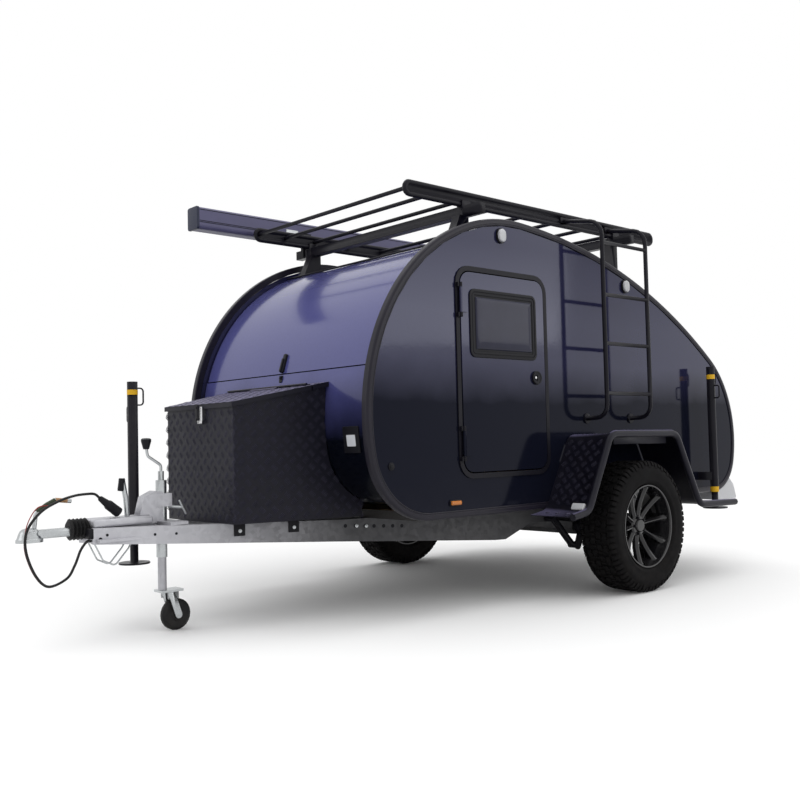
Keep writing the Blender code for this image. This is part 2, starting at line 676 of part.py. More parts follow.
def doors():
    frame = flat("door_frame_left", [door_outline(0.0), door_outline(DOOR_FRAME_WIDTH)], "xz",
                 BODY_HALF_WIDTH + TOUCH, BODY_HALF_WIDTH + DOOR_FRAME_PROUD, "black_coat")
    inset = DOOR_FRAME_WIDTH + MOVING_GAP
    leaf = flat("door_left", [door_outline(inset), window_outline(WINDOW_FRAME_WIDTH)], "xz",
                WALL_INNER_Y, BODY_HALF_WIDTH + DOOR_LEAF_PROUD, "wall_paint")
    lock = rod("lock", (LOCK_X, BODY_HALF_WIDTH, LOCK_Z), (LOCK_X, BODY_HALF_WIDTH + LOCK_PROUD, LOCK_Z),
               LOCK_RADIUS, "black_coat", 20)
    join(leaf, lock)
    half = HINGE_KNUCKLE_HEIGHT / 2
    strap_y = (BODY_HALF_WIDTH + DOOR_LEAF_PROUD - 0.001, HINGE_Y)
    for z in HINGE_KNUCKLES_Z:
        barrel = rod("barrel", (HINGE_X, HINGE_Y, z - half), (HINGE_X, HINGE_Y, z + half), HINGE_KNUCKLE_RADIUS,
                     "black_coat", 12)
        strap = box("strap", (HINGE_X - 0.045, strap_y[0], z - half + 0.002), (HINGE_X, strap_y[1], z + half - 0.002),
                    "black_coat")
        join(leaf, strap, barrel)
        for end in (z - half - TOUCH - HINGE_END_HEIGHT, z + half + TOUCH):
            ear = rod("ear", (HINGE_X, HINGE_Y, end), (HINGE_X, HINGE_Y, end + HINGE_END_HEIGHT),
                      HINGE_KNUCKLE_RADIUS, "black_coat", 12)
            plate = box("plate", (HINGE_X + 0.002, BODY_HALF_WIDTH + 0.003, end + 0.001),
                        (HINGE_X + 0.018, HINGE_Y, end + HINGE_END_HEIGHT - 0.001), "black_coat")
            join(frame, ear, plate)
    mirrored(frame, "door_frame_right")
    window = flat("door_window_left", [window_outline(0.0)], "xz",
                  BODY_HALF_WIDTH + DOOR_LEAF_PROUD + TOUCH,
                  BODY_HALF_WIDTH + DOOR_LEAF_PROUD + WINDOW_FRAME_PROUD, "glass")
    for piece, name in ((leaf, "door_right"), (window, "door_window_right")):
        twin = mirrored(piece, name)
        pivot(twin, (HINGE_X, -HINGE_Y, 0))
    for piece in (leaf, window):
        pivot(piece, (HINGE_X, HINGE_Y, 0))


# Chassis, axle and wheels

def beam_y(x):
    """Middle of a drawbar beam at a distance ahead of the axle."""
    share = (x - BEAM_REAR_X) / (BEAM_FRONT_X - BEAM_REAR_X)
    return BEAM_REAR_Y + share * (BEAM_FRONT_Y - BEAM_REAR_Y)


def beam_top(x):
    """Height of a drawbar beam's upper edge."""
    share = min(1.0, (BEAM_FRONT_X - x) / (BEAM_FRONT_X - BEAM_DEEP_X))
    return BEAM_NOSE_Z[1] + share * (BEAM_TOP_Z - BEAM_NOSE_Z[1])


def chassis():
    run = BEAM_FRONT_X - BEAM_REAR_X
    angle = math.atan2(BEAM_REAR_Y - BEAM_FRONT_Y, run)
    stretch = 1 / math.cos(angle)
    side = [(BEAM_FRONT_X, BEAM_NOSE_Z[0]), (BEAM_FRONT_X, BEAM_NOSE_Z[1]),
            (BEAM_DEEP_X, BEAM_TOP_Z), (BEAM_REAR_X, BEAM_TOP_Z),
            (BEAM_REAR_X, BEAM_STEP_Z), (BEAM_STEP_X, BEAM_STEP_Z),
            (BEAM_BELLY_X - 0.06, BEAM_BELLY_Z), (BEAM_BELLY_X, BEAM_BELLY_Z),
            (BEAM_DEEP_X, BEAM_DEEP_Z)]
    outline = [((x - BEAM_REAR_X) * stretch, z) for x, z in side]
    frame = None
    for sign in (1, -1):
        beam = flat("beam", [outline], "xz", -BEAM_WIDTH / 2, BEAM_WIDTH / 2, "galvanised")
        beam.data.transform(Matrix.Translation((BEAM_REAR_X, sign * BEAM_REAR_Y, 0))
                            @ Matrix.Rotation(-sign * angle, 4, "Z"))
        rail = box("rail", (RAIL_REAR_X, sign * BEAM_REAR_Y - BEAM_WIDTH / 2, BEAM_TOP_Z - RAIL_HEIGHT),
                   (BEAM_REAR_X + 0.055, sign * BEAM_REAR_Y + BEAM_WIDTH / 2, BEAM_TOP_Z - 0.0006),
                   "galvanised")
        frame = join(frame, beam, rail) if frame else join(beam, rail)
    frame.name = "chassis_frame"
    for number, x in enumerate(CROSS_MEMBERS_X):
        member = box("member", (x - 0.025, -BEAM_REAR_Y, BEAM_TOP_Z - RAIL_HEIGHT + 0.008),
                     (x + 0.025, BEAM_REAR_Y, BEAM_TOP_Z - 0.003), "galvanised")
        join(frame, member)
    tie_x = BEAM_FRONT_X - 0.30
    tie = box("tie", (tie_x, -beam_y(tie_x), BEAM_NOSE_Z[0] + 0.008),
              (BEAM_FRONT_X - 0.004, beam_y(tie_x), BEAM_NOSE_Z[0] + 0.020), "galvanised")
    join(frame, tie)
    return frame


def axle():
    """Eight-sided axle tube, flat side up under the chassis rails."""
    outline = arc((AXLE_TUBE_X, AXLE_TUBE_Z), AXLE_TUBE_RADIUS, 22.5, 337.5, 7)
    flat("axle_beam", [outline], "xz", -AXLE_TUBE_HALF, AXLE_TUBE_HALF, "galvanised")


def swing_arms():
    """Arm from the axle tube's end back to the spindle, with the brake's back plate."""
    low = AXLE_TUBE_HALF + TOUCH
    high = low + ARM_THICKNESS
    outline = capsule((AXLE_TUBE_X, AXLE_TUBE_Z), (0, WHEEL_RADIUS), ARM_WIDTH / 2)
    arm = flat("swing_arm_left", [outline], "xz", low, high, "black_coat")
    plate = rod("plate", (0, high - 0.004, WHEEL_RADIUS), (0, high + 0.010, WHEEL_RADIUS),
                DRUM_RADIUS - 0.006, "black_coat", 32)
    spindle = rod("spindle", (0, high, WHEEL_RADIUS), (0, high + 0.090, WHEEL_RADIUS),
                  SPINDLE_RADIUS, "black_coat", 24)
    lug = flat("lug", [capsule((AXLE_TUBE_X - 0.02, AXLE_TUBE_Z - 0.02), SHOCK_FOOT, ARM_LUG_RADIUS)], "xz",
               low + 0.004, low + 0.014, "black_coat")
    join(arm, plate, spindle, lug)
    mirrored(arm, "swing_arm_right")


def capsule(first, second, radius, steps=8):
    """Outline of a bar with two round ends."""
    direction = math.degrees(math.atan2(second[1] - first[1], second[0] - first[0]))
    return (arc(second, radius, direction - 90, direction + 90, steps)
            + arc(first, radius, direction + 90, direction + 270, steps))


def shocks():
    """Damper from the drawbar beam's side down to the swing arm's lug."""
    (top_x, top_z), (foot_x, foot_z) = SHOCK_TOP, SHOCK_FOOT
    shock = rod("shock_left", (top_x, SHOCK_Y, top_z), (foot_x, SHOCK_Y, foot_z), SHOCK_RADIUS, "black_coat", 12)
    beam_face = BEAM_REAR_Y + BEAM_WIDTH / 2 + TOUCH
    lug_face = AXLE_TUBE_HALF + 0.004
    join(shock, rod("eye", (top_x, beam_face, top_z), (top_x, SHOCK_Y + 0.014, top_z), SHOCK_EYE_RADIUS,
                    "black_coat", 12))
    join(shock, rod("eye", (foot_x, SHOCK_Y - 0.014, foot_z), (foot_x, lug_face, foot_z), SHOCK_EYE_RADIUS,
                    "black_coat", 12))
    mirrored(shock, "shock_right")


def wheels():
    outer, inner = TYRE_OUTER_Y, TYRE_OUTER_Y - TYRE_WIDTH
    bead = RIM_RADIUS + 0.0005
    shoulder = WHEEL_RADIUS - 0.012
    tyre_profile = [(bead, inner + 0.022), (bead + 0.035, inner + 0.006), (bead + 0.075, inner),
                    (shoulder - 0.018, inner + 0.008), (shoulder, inner + 0.024),
                    (WHEEL_RADIUS, inner + 0.040), (WHEEL_RADIUS, outer - 0.040),
                    (shoulder, outer - 0.024), (shoulder - 0.018, outer - 0.008),
                    (bead + 0.075, outer), (bead + 0.035, outer - 0.006), (bead, outer - 0.022)]
    rim_out, rim_in = outer - 0.016, inner + 0.016
    face = rim_out - HUB_FACE_INSET
    rim_profile = [(RIM_RADIUS, rim_out), (RIM_RADIUS - RIM_LIP, rim_out + 0.003),
                   (RIM_WELL_RADIUS + 0.004, rim_out - 0.020), (RIM_WELL_RADIUS - 0.006, face - 0.030),
                   (RIM_WELL_RADIUS - 0.006, rim_in + 0.010), (RIM_RADIUS - RIM_LIP, rim_in - 0.003),
                   (RIM_RADIUS, rim_in)]
    bore = SPINDLE_RADIUS + SPINDLE_CLEARANCE
    drum_in = AXLE_TUBE_HALF + ARM_THICKNESS + 0.016
    hub_profile = [(bore, drum_in), (DRUM_RADIUS, drum_in), (DRUM_RADIUS, drum_in + DRUM_DEPTH),
                   (HUB_RADIUS + 0.03, drum_in + DRUM_DEPTH + 0.01), (HUB_RADIUS + 0.03, face - 0.030),
                   (HUB_RADIUS, face), (0.030, face + 0.004), (0.030, face + 0.010), (0.006, face + 0.012),
                   (0.006, face - 0.030), (bore, face - 0.060)]
    for side, sign in (("left", 1), ("right", -1)):
        tyre = turned("tyre_" + side, tyre_profile, "Y", "rubber", 32, (0, 0, WHEEL_RADIUS))
        rim = turned("rim_" + side, rim_profile, "Y", "rim_black", 32, (0, 0, WHEEL_RADIUS))
        hub = turned("hub", hub_profile, "Y", "rim_black", 12, (0, 0, WHEEL_RADIUS))
        join(rim, hub)
        for number in range(SPOKE_COUNT):
            spoke = box("spoke", (HUB_RADIUS - 0.012, face - 0.026, -SPOKE_WIDTH / 2),
                        (RIM_WELL_RADIUS + 0.002, face - 0.002, SPOKE_WIDTH / 2), "rim_black")
            turn = Matrix.Rotation(math.radians(SPOKE_PHASE_DEG + 360 * number / SPOKE_COUNT), 4, "Y")
            spoke.data.transform(Matrix.Translation((0, 0, WHEEL_RADIUS)) @ turn)
            join(rim, spoke)
        if sign < 0:
            for piece in (tyre, rim):
                piece.data.transform(Matrix.Scale(-1, 4, (0, 1, 0)))
                piece.data.flip_normals()
        for piece in (tyre, rim):
            pivot(piece, (0, 0, WHEEL_RADIUS))


# Front end

def coupling():
    head_low, head_high = COUPLING_Z - 0.028, COUPLING_Z + 0.032
    ball_x = NOSE_X - BALL_INSET
    half = COUPLING_WIDTH / 2
    plan = rounded_rectangle((ball_x - 0.055, -half), (NOSE_X, half), half - 0.002, 6)
    head = flat("coupling_head", [plan], "xy", head_low, head_high, "galvanised")
    neck_rear = ball_x - COUPLING_NECK_LENGTH
    neck = box("neck", (neck_rear, -COUPLING_NECK_WIDTH / 2, head_low + 0.012),
               (ball_x - 0.040, COUPLING_NECK_WIDTH / 2, head_high - 0.006), "galvanised")
    route = [(BEAM_FRONT_X + x, 0, z) for x, z in HANDLE_ROUTE]
    handle = tube("handle", rounded_path(route, 0.03, 3), HANDLE_RADIUS, "galvanised")
    socket = rod("socket", (ball_x, 0, head_low - 0.01), (ball_x, 0, head_low + 0.040),
                 BALL_DIAMETER / 2, "galvanised", 24)
    join(head, neck, handle)
    cut(head, socket)
    bellows(BEAM_FRONT_X + TOUCH, neck_rear - TOUCH)


def bellows(rear, front):
    """Rubber bellows between the beams and the coupling's neck."""
    pitch = (front - rear) / (2 * BELLOWS_RINGS)
    profile = [(0.0, rear)] + [(BELLOWS_RADII[i % 2], rear + i * pitch) for i in range(2 * BELLOWS_RINGS + 1)]
    profile.append((0.0, front))
    turned("coupling_bellows", profile, "X", "rubber", 14, (0, 0, COUPLING_Z + 0.010))


def cover_plate():
    cover = box("drawbar_cover", (COVER_REAR_X, -COVER_HALF_WIDTH, BEAM_NOSE_Z[1] + TOUCH),
                (BEAM_FRONT_X, COVER_HALF_WIDTH, BEAM_NOSE_Z[1] + COVER_HEIGHT), "galvanised")
    round_edges(cover, 0.010, 2)
    lever = [(BEAM_FRONT_X + x, 0.0, BEAM_NOSE_Z[1] + z) for x, z in LEVER_ROUTE]
    tube("handbrake_lever", rounded_path(lever, 0.05), LEVER_RADIUS, "galvanised")


def jockey():
    """Jockey wheel on its bracket: tube with crank, clamp, inner tube, fork and wheel."""
    jockey_tube()
    jockey_clamp()
    x = JOCKEY_X
    inner = rod("jockey_inner_tube", (x, 0, JOCKEY_SWIVEL_Z), (x, 0, 0.480), JOCKEY_INNER_RADIUS,
                "galvanised", 24)
    pivot(inner, (x, 0, JOCKEY_SWIVEL_Z))
    jockey_fork()
    half, r = JOCKEY_WHEEL_WIDTH / 2, JOCKEY_WHEEL_RADIUS
    profile = [(0.0088, -half), (0.022, -half), (0.030, -half + 0.006), (r - 0.014, -half + 0.004),
               (r, -half + 0.014), (r, half - 0.014), (r - 0.014, half - 0.004), (0.030, half - 0.006),
               (0.022, half), (0.0088, half)]
    centre = (x - JOCKEY_TRAIL, 0, r)
    wheel = turned("jockey_wheel", profile, "Y", "rubber", 24, centre)
    pivot(wheel, centre)


def jockey_tube():
    x, top = JOCKEY_X, JOCKEY_TUBE_TOP_Z
    bore = JOCKEY_INNER_RADIUS + SPINDLE_CLEARANCE
    profile = [(bore, JOCKEY_TUBE_BOTTOM_Z), (JOCKEY_OUTER_RADIUS, JOCKEY_TUBE_BOTTOM_Z),
               (JOCKEY_OUTER_RADIUS, top), (0, top), (0, top - 0.012), (bore, top - 0.012)]
    outer = turned("jockey_tube", profile, "Z", "galvanised", 24, (x, 0, 0))
    route = [(x + ahead, 0, z) for ahead, z in CRANK_ROUTE]
    crank = tube("crank", rounded_path(route, 0.02), CRANK_RADIUS, "galvanised")
    knob_x = route[-1][0]
    knob = rod("knob", (knob_x, 0, CRANK_KNOB_Z[0]), (knob_x, 0, CRANK_KNOB_Z[1]), CRANK_KNOB_RADII[0],
               "black_coat", 12, CRANK_KNOB_RADII[1])
    screw = rod("screw", (x, 0, top - 0.006), (x, 0, JOCKEY_SCREW_TOP_Z), JOCKEY_SCREW_RADIUS, "galvanised", 10)
    join(outer, screw, crank, knob)


def jockey_clamp():
    """Bridge plate across the beams with the casting and the ring that hold the jockey tube."""
    x, base = JOCKEY_X, beam_top(JOCKEY_X + BRIDGE_AHEAD) + TOUCH
    clamp = box("jockey_clamp", (x - BRIDGE_BACK, -BRIDGE_HALF_WIDTH, base),
                (x + BRIDGE_AHEAD, BRIDGE_HALF_WIDTH, base + BRIDGE_THICKNESS), "galvanised")
    outline = [(x + ahead, z) for ahead, z in CASTING_OUTLINE]
    casting = flat("casting", [outline], "xz", -CASTING_HALF_WIDTH, CASTING_HALF_WIDTH, "galvanised")
    ring = box("ring", (x - RING_HALF_LENGTH, -RING_HALF_WIDTH, RING_Z[0]),
               (x + RING_HALF_LENGTH, RING_HALF_WIDTH, RING_Z[1]), "galvanised")
    join(clamp, casting, ring)
    cut(clamp, rod("bore", (x, 0, base - 0.02), (x, 0, RING_Z[1] + 0.03), JOCKEY_OUTER_RADIUS + TOUCH,
                   "galvanised", 24))


def jockey_fork():
    x, half = JOCKEY_X, JOCKEY_WHEEL_WIDTH / 2
    fork_top = JOCKEY_SWIVEL_Z - TOUCH
    axle_x, axle_z = x - JOCKEY_TRAIL, JOCKEY_WHEEL_RADIUS
    fork = box("jockey_fork", (x - 0.085, -half - 0.014, fork_top - 0.010), (x + 0.022, half + 0.014, fork_top),
               "galvanised")
    for sign in (1, -1):
        outline = capsule((axle_x, axle_z), (x - 0.030, fork_top - 0.020), 0.016, 6)
        join(fork, flat("cheek", [outline], "xz", sign * (half + 0.005), sign * (half + 0.011), "galvanised"))
        sides = sorted((sign * (half + 0.0052), sign * (half + 0.0108)))
        join(fork, box("strap", (axle_x, sides[0], fork_top - 0.040), (x - 0.010, sides[1], fork_top - 0.004),
                       "galvanised"))
    join(fork, rod("pin", (axle_x, -half - 0.010, axle_z), (axle_x, half + 0.010, axle_z), 0.008,
                   "galvanised", 16))
    pivot(fork, (x, 0, fork_top))


def box_side(x):
    share = (BOX_FRONT_X - x) / BOX_TAPER_LENGTH
    return BOX_FRONT_HALF + share * (BOX_REAR_HALF - BOX_FRONT_HALF)


def box_top(x):
    share = (BOX_FRONT_X - x) / BOX_TAPER_LENGTH
    return BOX_FRONT_TOP_Z + share * (BOX_REAR_TOP_Z - BOX_FRONT_TOP_Z)


def skin_x(z):
    """How far forward the body's front skin reaches at a height."""
    points = teardrop(SKIN_INSET, 0, 180)
    for (x0, z0), (x1, z1) in zip(points, points[1:]):
        if z0 <= z <= z1:
            return x0 + (x1 - x0) * (z - z0) / (z1 - z0)
    return points[0][0]


def toolbox():
    """Box on the drawbar whose back follows the trailer's nose."""
    nose = [(x + BOX_REAR_GAP, z) for x, z in teardrop(SKIN_INSET, 25, 98) if z > BOX_BOTTOM_Z + 0.02]
    back = [(nose[0][0], BOX_BOTTOM_Z)] + nose + [(nose[-1][0], box_top(nose[-1][0]))]
    side = [(BOX_FRONT_X, BOX_FRONT_TOP_Z), (BOX_FRONT_X, BOX_BOTTOM_Z)] + back
    body = flat("toolbox_body", [side], "xz", -0.5, 0.5, "diamond_plate")
    far = 1.30
    plan = [(BOX_FRONT_X + 0.2, -box_side(BOX_FRONT_X + 0.2)), (BOX_FRONT_X + 0.2, box_side(BOX_FRONT_X + 0.2)),
            (far, box_side(far)), (far, -box_side(far))]
    trim_to(body, flat("plan", [plan], "xy", 0.3, 1.3, "diamond_plate"))
    wall = BOX_WALL
    inner_side = [(BOX_FRONT_X - wall, 1.2), (BOX_FRONT_X - wall, BOX_BOTTOM_Z + wall)]
    inner_back = [(nose[0][0] + wall + 0.01, BOX_BOTTOM_Z + wall)] + [(x + wall, z) for x, z in nose[1:]]
    inner = flat("inner", [inner_side + inner_back + [(inner_back[-1][0], 1.2)]], "xz", -0.48, 0.48, "diamond_plate")
    inner_plan = [(x, y - math.copysign(wall, y)) for x, y in plan]
    trim_to(inner, flat("plan", [inner_plan], "xy", 0.3, 1.3, "diamond_plate"))
    cut(body, inner)
    lap = BOX_LID_LAP
    front = (BOX_FRONT_X + lap, box_top(BOX_FRONT_X + lap) + TOUCH)
    for name, start, end in (("toolbox_lid", BOX_LID_HINGE_X + 0.003, front[0]),
                             ("toolbox_strip", skin_x(BOX_REAR_TOP_Z) + 0.002, BOX_LID_HINGE_X - 0.003)):
        low = [(start, box_top(start) + TOUCH), (end, box_top(end) + TOUCH)]
        high = [(x, z + BOX_LID_THICKNESS) for x, z in low[::-1]]
        lid = flat(name, [low + high], "xz", -0.6, 0.6, "diamond_plate")
        lid_plan = [(x, y + math.copysign(lap, y)) for x, y in plan]
        trim_to(lid, flat("plan", [lid_plan], "xy", 0.3, 1.3, "diamond_plate"))
    surface = Vector((BOX_LID_HINGE_X, box_top(BOX_LID_HINGE_X) + TOUCH + BOX_LID_THICKNESS))
    slope = Vector((1, box_top(BOX_LID_HINGE_X + 1) - box_top(BOX_LID_HINGE_X))).normalized()
    lid, strip = bpy.data.objects["toolbox_lid"], bpy.data.objects["toolbox_strip"]
    axis = long_hinge(strip, lid, surface, slope, -slope, box_side(BOX_LID_HINGE_X) - 0.030)
    pivot(lid, (axis.x, 0, axis.y))


def trim_to(piece, shape):
    boolean(piece, shape, "INTERSECT")
    return piece


# Fenders, rack, awning, ladder and legs

def fenders():
    y_tube = FENDER_OUTER_Y - FENDER_TUBE_RADIUS
    y_wall = BODY_HALF_WIDTH + TRIM_PROUD + TOUCH
    chain = [FENDER_FRONT_FOOT, FENDER_FRONT_KNEE, FENDER_TOP_FRONT, FENDER_TOP_REAR,
             FENDER_REAR_KNEE, FENDER_SHELF_END]
    path = rounded_path([(x, y_tube, z) for x, z in chain], 0.075, 5)
    edge = tube("fender_left", path, FENDER_TUBE_RADIUS, "black_coat")
    spine = [(p.x, p.z) for p in path]
    half = FENDER_PLATE / 2
    plate = flat("plate", [thick_line(spine, half)], "xz", y_wall, y_tube, "diamond_plate")
    (front_x, front_z), (rear_x, rear_z) = FENDER_TOP_FRONT, FENDER_TOP_REAR
    front_x, rear_x = front_x - FENDER_LIP_INSET, rear_x + FENDER_LIP_INSET
    lip_outline = [(rear_x, rear_z - FENDER_LIP_DROP), (front_x, front_z - FENDER_LIP_DROP), (front_x, front_z),
                   (rear_x, rear_z)]
    lip_y = y_tube - FENDER_TUBE_RADIUS - FENDER_LIP_THICKNESS
    lip = flat("lip", [lip_outline], "xz", lip_y - FENDER_LIP_THICKNESS, lip_y, "black_coat")
    join(edge, join(plate, lip))
    mirrored(edge, "fender_right")


def thick_line(points, half):
    """Outline of a sheet of constant thickness along a chain of (x, z) points."""
    left, right = [], []
    for i, point in enumerate(points):
        before, after = points[max(i - 1, 0)], points[min(i + 1, len(points) - 1)]
        along = Vector((after[0] - before[0], after[1] - before[1])).normalized()
        left.append((point[0] - along.y * half, point[1] + along.x * half))
        right.append((point[0] + along.y * half, point[1] - along.x * half))
    return left + right[::-1]


def roof_rack():
    r = RACK_TUBE_RADIUS
    loop_half = RACK_HALF_HEIGHT - r
    rack = None
    for sign in (1, -1):
        outline = capsule((RACK_REAR_X + RACK_HALF_HEIGHT, RACK_Z), (RACK_FRONT_X - RACK_HALF_HEIGHT, RACK_Z),
                          loop_half)
        loop = tube("loop", [(x, sign * RACK_Y, z) for x, z in outline], r, "black_coat", closed=True)
        sheet = flat("sheet", [outline], "xz", sign * RACK_Y - RACK_SHEET / 2, sign * RACK_Y + RACK_SHEET / 2,
                     "black_coat")
        join(loop, sheet)
        rack = join(rack, loop) if rack else loop
    for x in RACK_CROSS_X:
        join(rack, rod("cross", (x, -RACK_Y, RACK_Z + 0.004), (x, RACK_Y, RACK_Z + 0.004), RACK_CROSS_RADIUS,
                       "black_coat", 8))
    beam_top = RACK_Z - RACK_HALF_HEIGHT + 0.004
    beam_low = beam_top - RACK_BEAM_HEIGHT
    for x in RACK_BEAMS_X:
        half = RACK_BEAM_WIDTH / 2
        join(rack, box("beam", (x - half, -RACK_BEAM_HALF, beam_low), (x + half, RACK_BEAM_HALF, beam_top),
                       "black_coat"))
        for sign in (1, -1):
            join(rack, rack_foot(x, sign, beam_low))
            sides = sorted((sign * (RACK_Y - RACK_CLAMP_HALF), sign * (RACK_Y + RACK_CLAMP_HALF)))
            join(rack, box("clamp", (x - half - 0.006, sides[0], beam_low + 0.004),
                           (x + half + 0.006, sides[1], RACK_Z - RACK_CLAMP_DROP), "black_coat"))
        join(rack, box("bracket", (x - 0.030, AWNING_INNER_Y + TOUCH, beam_low + 0.006),
                       (x + 0.030, AWNING_INNER_Y + 0.024, RACK_Z + AWNING_HEIGHT / 2), "black_coat"))
    rack.name = "roof_rack"
    return rack


def rack_foot(x, sign, beam_low):
    """Foot with an upright rear edge and a raked front, cut to the roof's curve."""
    rear = x - RACK_BEAM_WIDTH / 2 - 0.008
    outline = [(rear, roof_height(rear) - 0.02), (rear + RACK_FOOT_LENGTH, roof_height(x) - 0.06),
               (x + RACK_BEAM_WIDTH / 2 + 0.008, beam_low + 0.010), (rear, beam_low + 0.010)]
    foot = flat("foot", [outline], "xz", sign * RACK_FOOT_Y - RACK_FOOT_WIDTH / 2,
                sign * RACK_FOOT_Y + RACK_FOOT_WIDTH / 2, "black_coat")
    roof = flat("roof", [band(SKIN_INSET - TOUCH, 0.2, SEAM_FRONT_HINGE + SEAM_HALF_GAP,
                                  SEAM_REAR_HINGE - SEAM_REAR_GAP)], "xz", -BODY_HALF_WIDTH, BODY_HALF_WIDTH,
                "black_coat")
    return cut(foot, roof)


def roof_height(x):
    """Height of the roof skin above a place on the axle's scale."""
    points = teardrop(SKIN_INSET, 90, 270)
    for (x0, z0), (x1, z1) in zip(points, points[1:]):
        if x1 <= x <= x0:
            return z0 + (z1 - z0) * (x - x0) / (x1 - x0)
    return points[-1][1]


def awning():
    bottom = RACK_Z + AWNING_ABOVE_RACK
    outline = rounded_rectangle((AWNING_INNER_Y - AWNING_DEPTH, bottom), (AWNING_INNER_Y, bottom + AWNING_HEIGHT),
                                0.022, 4)
    flat("awning_case", [outline], "yz", AWNING_REAR_X, AWNING_FRONT_X, "black_coat")


def ladder():
    """Two stiles that bend in to the rack's rail above and to the wall below, with rungs between them."""
    rail_y = RACK_Y + RACK_SHEET / 2 + TOUCH
    wall_y = BODY_HALF_WIDTH + TOUCH
    whole = None
    for x in (LADDER_FRONT_X, LADDER_REAR_X):
        points = [(x, rail_y + LADDER_PLATE_DEPTH - 0.002, RACK_Z - LADDER_TOP_DROP),
                  (x, LADDER_Y, RACK_Z - LADDER_BEND_DROP), (x, LADDER_Y, LADDER_FOOT_Z),
                  (x, wall_y + 0.004, LADDER_FOOT_Z - LADDER_FOOT_DROP)]
        stile = tube("stile", rounded_path(points, LADDER_BEND_RADIUS, 4), LADDER_TUBE_RADIUS, "black_coat")
        foot_z = LADDER_FOOT_Z - LADDER_FOOT_DROP
        join(stile, rod("foot", (x, wall_y, foot_z), (x, wall_y + 0.008, foot_z), LADDER_FLANGE_RADIUS,
                        "black_coat", 12))
        join(stile, box("plate", (x - LADDER_PLATE_HALF_LENGTH, rail_y, RACK_Z - LADDER_PLATE_HALF_HEIGHT),
                        (x + LADDER_PLATE_HALF_LENGTH, rail_y + LADDER_PLATE_DEPTH,
                         RACK_Z + LADDER_PLATE_HALF_HEIGHT), "black_coat"))
        whole = join(whole, stile) if whole else stile
    for z in LADDER_RUNGS_Z:
        join(whole, rod("rung", (LADDER_REAR_X, LADDER_Y, z), (LADDER_FRONT_X, LADDER_Y, z), LADDER_RUNG_RADIUS,
                        "black_coat", 8))
    whole.name = "ladder"


def stabiliser_legs():
    for name, x, y, low, high in LEG_TABLE:
        bore = LEG_INNER_RADIUS + 0.0008
        outer = turned("leg_tube_" + name, [(bore, low), (LEG_OUTER_RADIUS, low), (LEG_OUTER_RADIUS, high),
                                            (0, high), (0, high - 0.006), (bore, high - 0.006)],
                       "Z", "black_coat", 16, (x, y, 0))
        loop_z = high - 0.030
        out = 0.055
        wall_x = x - LEG_INNER_RADIUS - 0.004
        loop = [(wall_x, y, high - 0.110), (x - out, y, high - 0.110), (x - out, y, loop_z), (wall_x, y, loop_z)]
        handle = tube("handle", rounded_path(loop, 0.02, 4), 0.004, "black_coat", rings=1)
        join(outer, handle)
        seat = BODY_HALF_WIDTH + TOUCH if name != "front" else None
        if seat:
            near = math.copysign(seat, y)
            clamp = box("clamp", (x - 0.030, min(near, y), LEG_CLAMP_Z[0]), (x + 0.030, max(near, y), LEG_CLAMP_Z[1]),
                        "black_coat")
        else:
            near = -(beam_y(x - 0.030) + BEAM_SIDE + TOUCH)
            clamp = box("clamp", (x - 0.030, min(near, y), BEAM_NOSE_Z[0] + 0.006),
                        (x + 0.030, max(near, y), BEAM_NOSE_Z[0] + 0.040), "black_coat")
        cut(clamp, rod("bore", (x, y, 0.3), (x, y, 0.8), LEG_INNER_RADIUS + 0.002, "black_coat", 16))
        join(outer, clamp)
        foot_z = LEG_FOOT_Z[name.split("_")[0]]
        inner = rod("leg_inner_" + name, (x, y, foot_z), (x, y, high - 0.120), LEG_INNER_RADIUS, "black_coat", 16)
        disc = rod("disc", (x, y, foot_z - LEG_FOOT_THICKNESS), (x, y, foot_z + 0.002), LEG_FOOT_RADIUS,
                   "black_coat", 24)
        join(inner, disc)
        pivot(inner, (x, y, foot_z))


def smooth_route(points, spacing):
    """Evenly spaced points on a smooth curve through a route's points."""
    knots = [Vector(p) for p in points]
    knots = [knots[0] * 2 - knots[1]] + knots + [knots[-1] * 2 - knots[-2]]
    dense = []
    for a, b, c, d in zip(knots, knots[1:], knots[2:], knots[3:]):
        for i in range(24):
            t = i / 24
            dense.append(0.5 * (2 * b + (c - a) * t + (2 * a - 5 * b + 4 * c - d) * t * t
                                + (3 * b - a - 3 * c + d) * t ** 3))
    dense.append(knots[-2])
    length = sum((q - p).length for p, q in zip(dense, dense[1:]))
    count = max(2, round(length / spacing))
    step, route, walked, target = length / count, [dense[0]], 0.0, length / count
    for p, q in zip(dense, dense[1:]):
        piece = (q - p).length
        while walked + piece >= target - 1e-9 and len(route) < count:
            route.append(p.lerp(q, (target - walked) / piece))
            target += step
        walked += piece
    route.append(dense[-1])
    return route


def bulkhead():
    """Wall between the sleeping cabin and the rear galley."""
    top = roof_height(BULKHEAD_X - BULKHEAD_THICKNESS) - SKIN_THICKNESS - 0.012
    reach = WALL_INNER_Y - TRIM_PROUD - TOUCH
    box("bulkhead", (BULKHEAD_X - BULKHEAD_THICKNESS, -reach, SILL_Z + FLOOR_THICKNESS + 2 * TOUCH),
        (BULKHEAD_X, reach, top), "plywood")


def tail_lamps():
    """A lens that fills the corner under the body's rounded rear edge."""
    inner = [p for p in teardrop(-TOUCH) if p[0] < TAIL_LAMP_FRONT_X and p[1] < TAIL_LAMP_TOP_Z]
    lamp = flat("tail_lamp_left", [inner + list(TAIL_LAMP_OUTER)], "xz", TAIL_LAMP_OUT_Y - TAIL_LAMP_WIDTH,
                TAIL_LAMP_OUT_Y, "lamp_clear")
    mirrored(lamp, "tail_lamp_right")


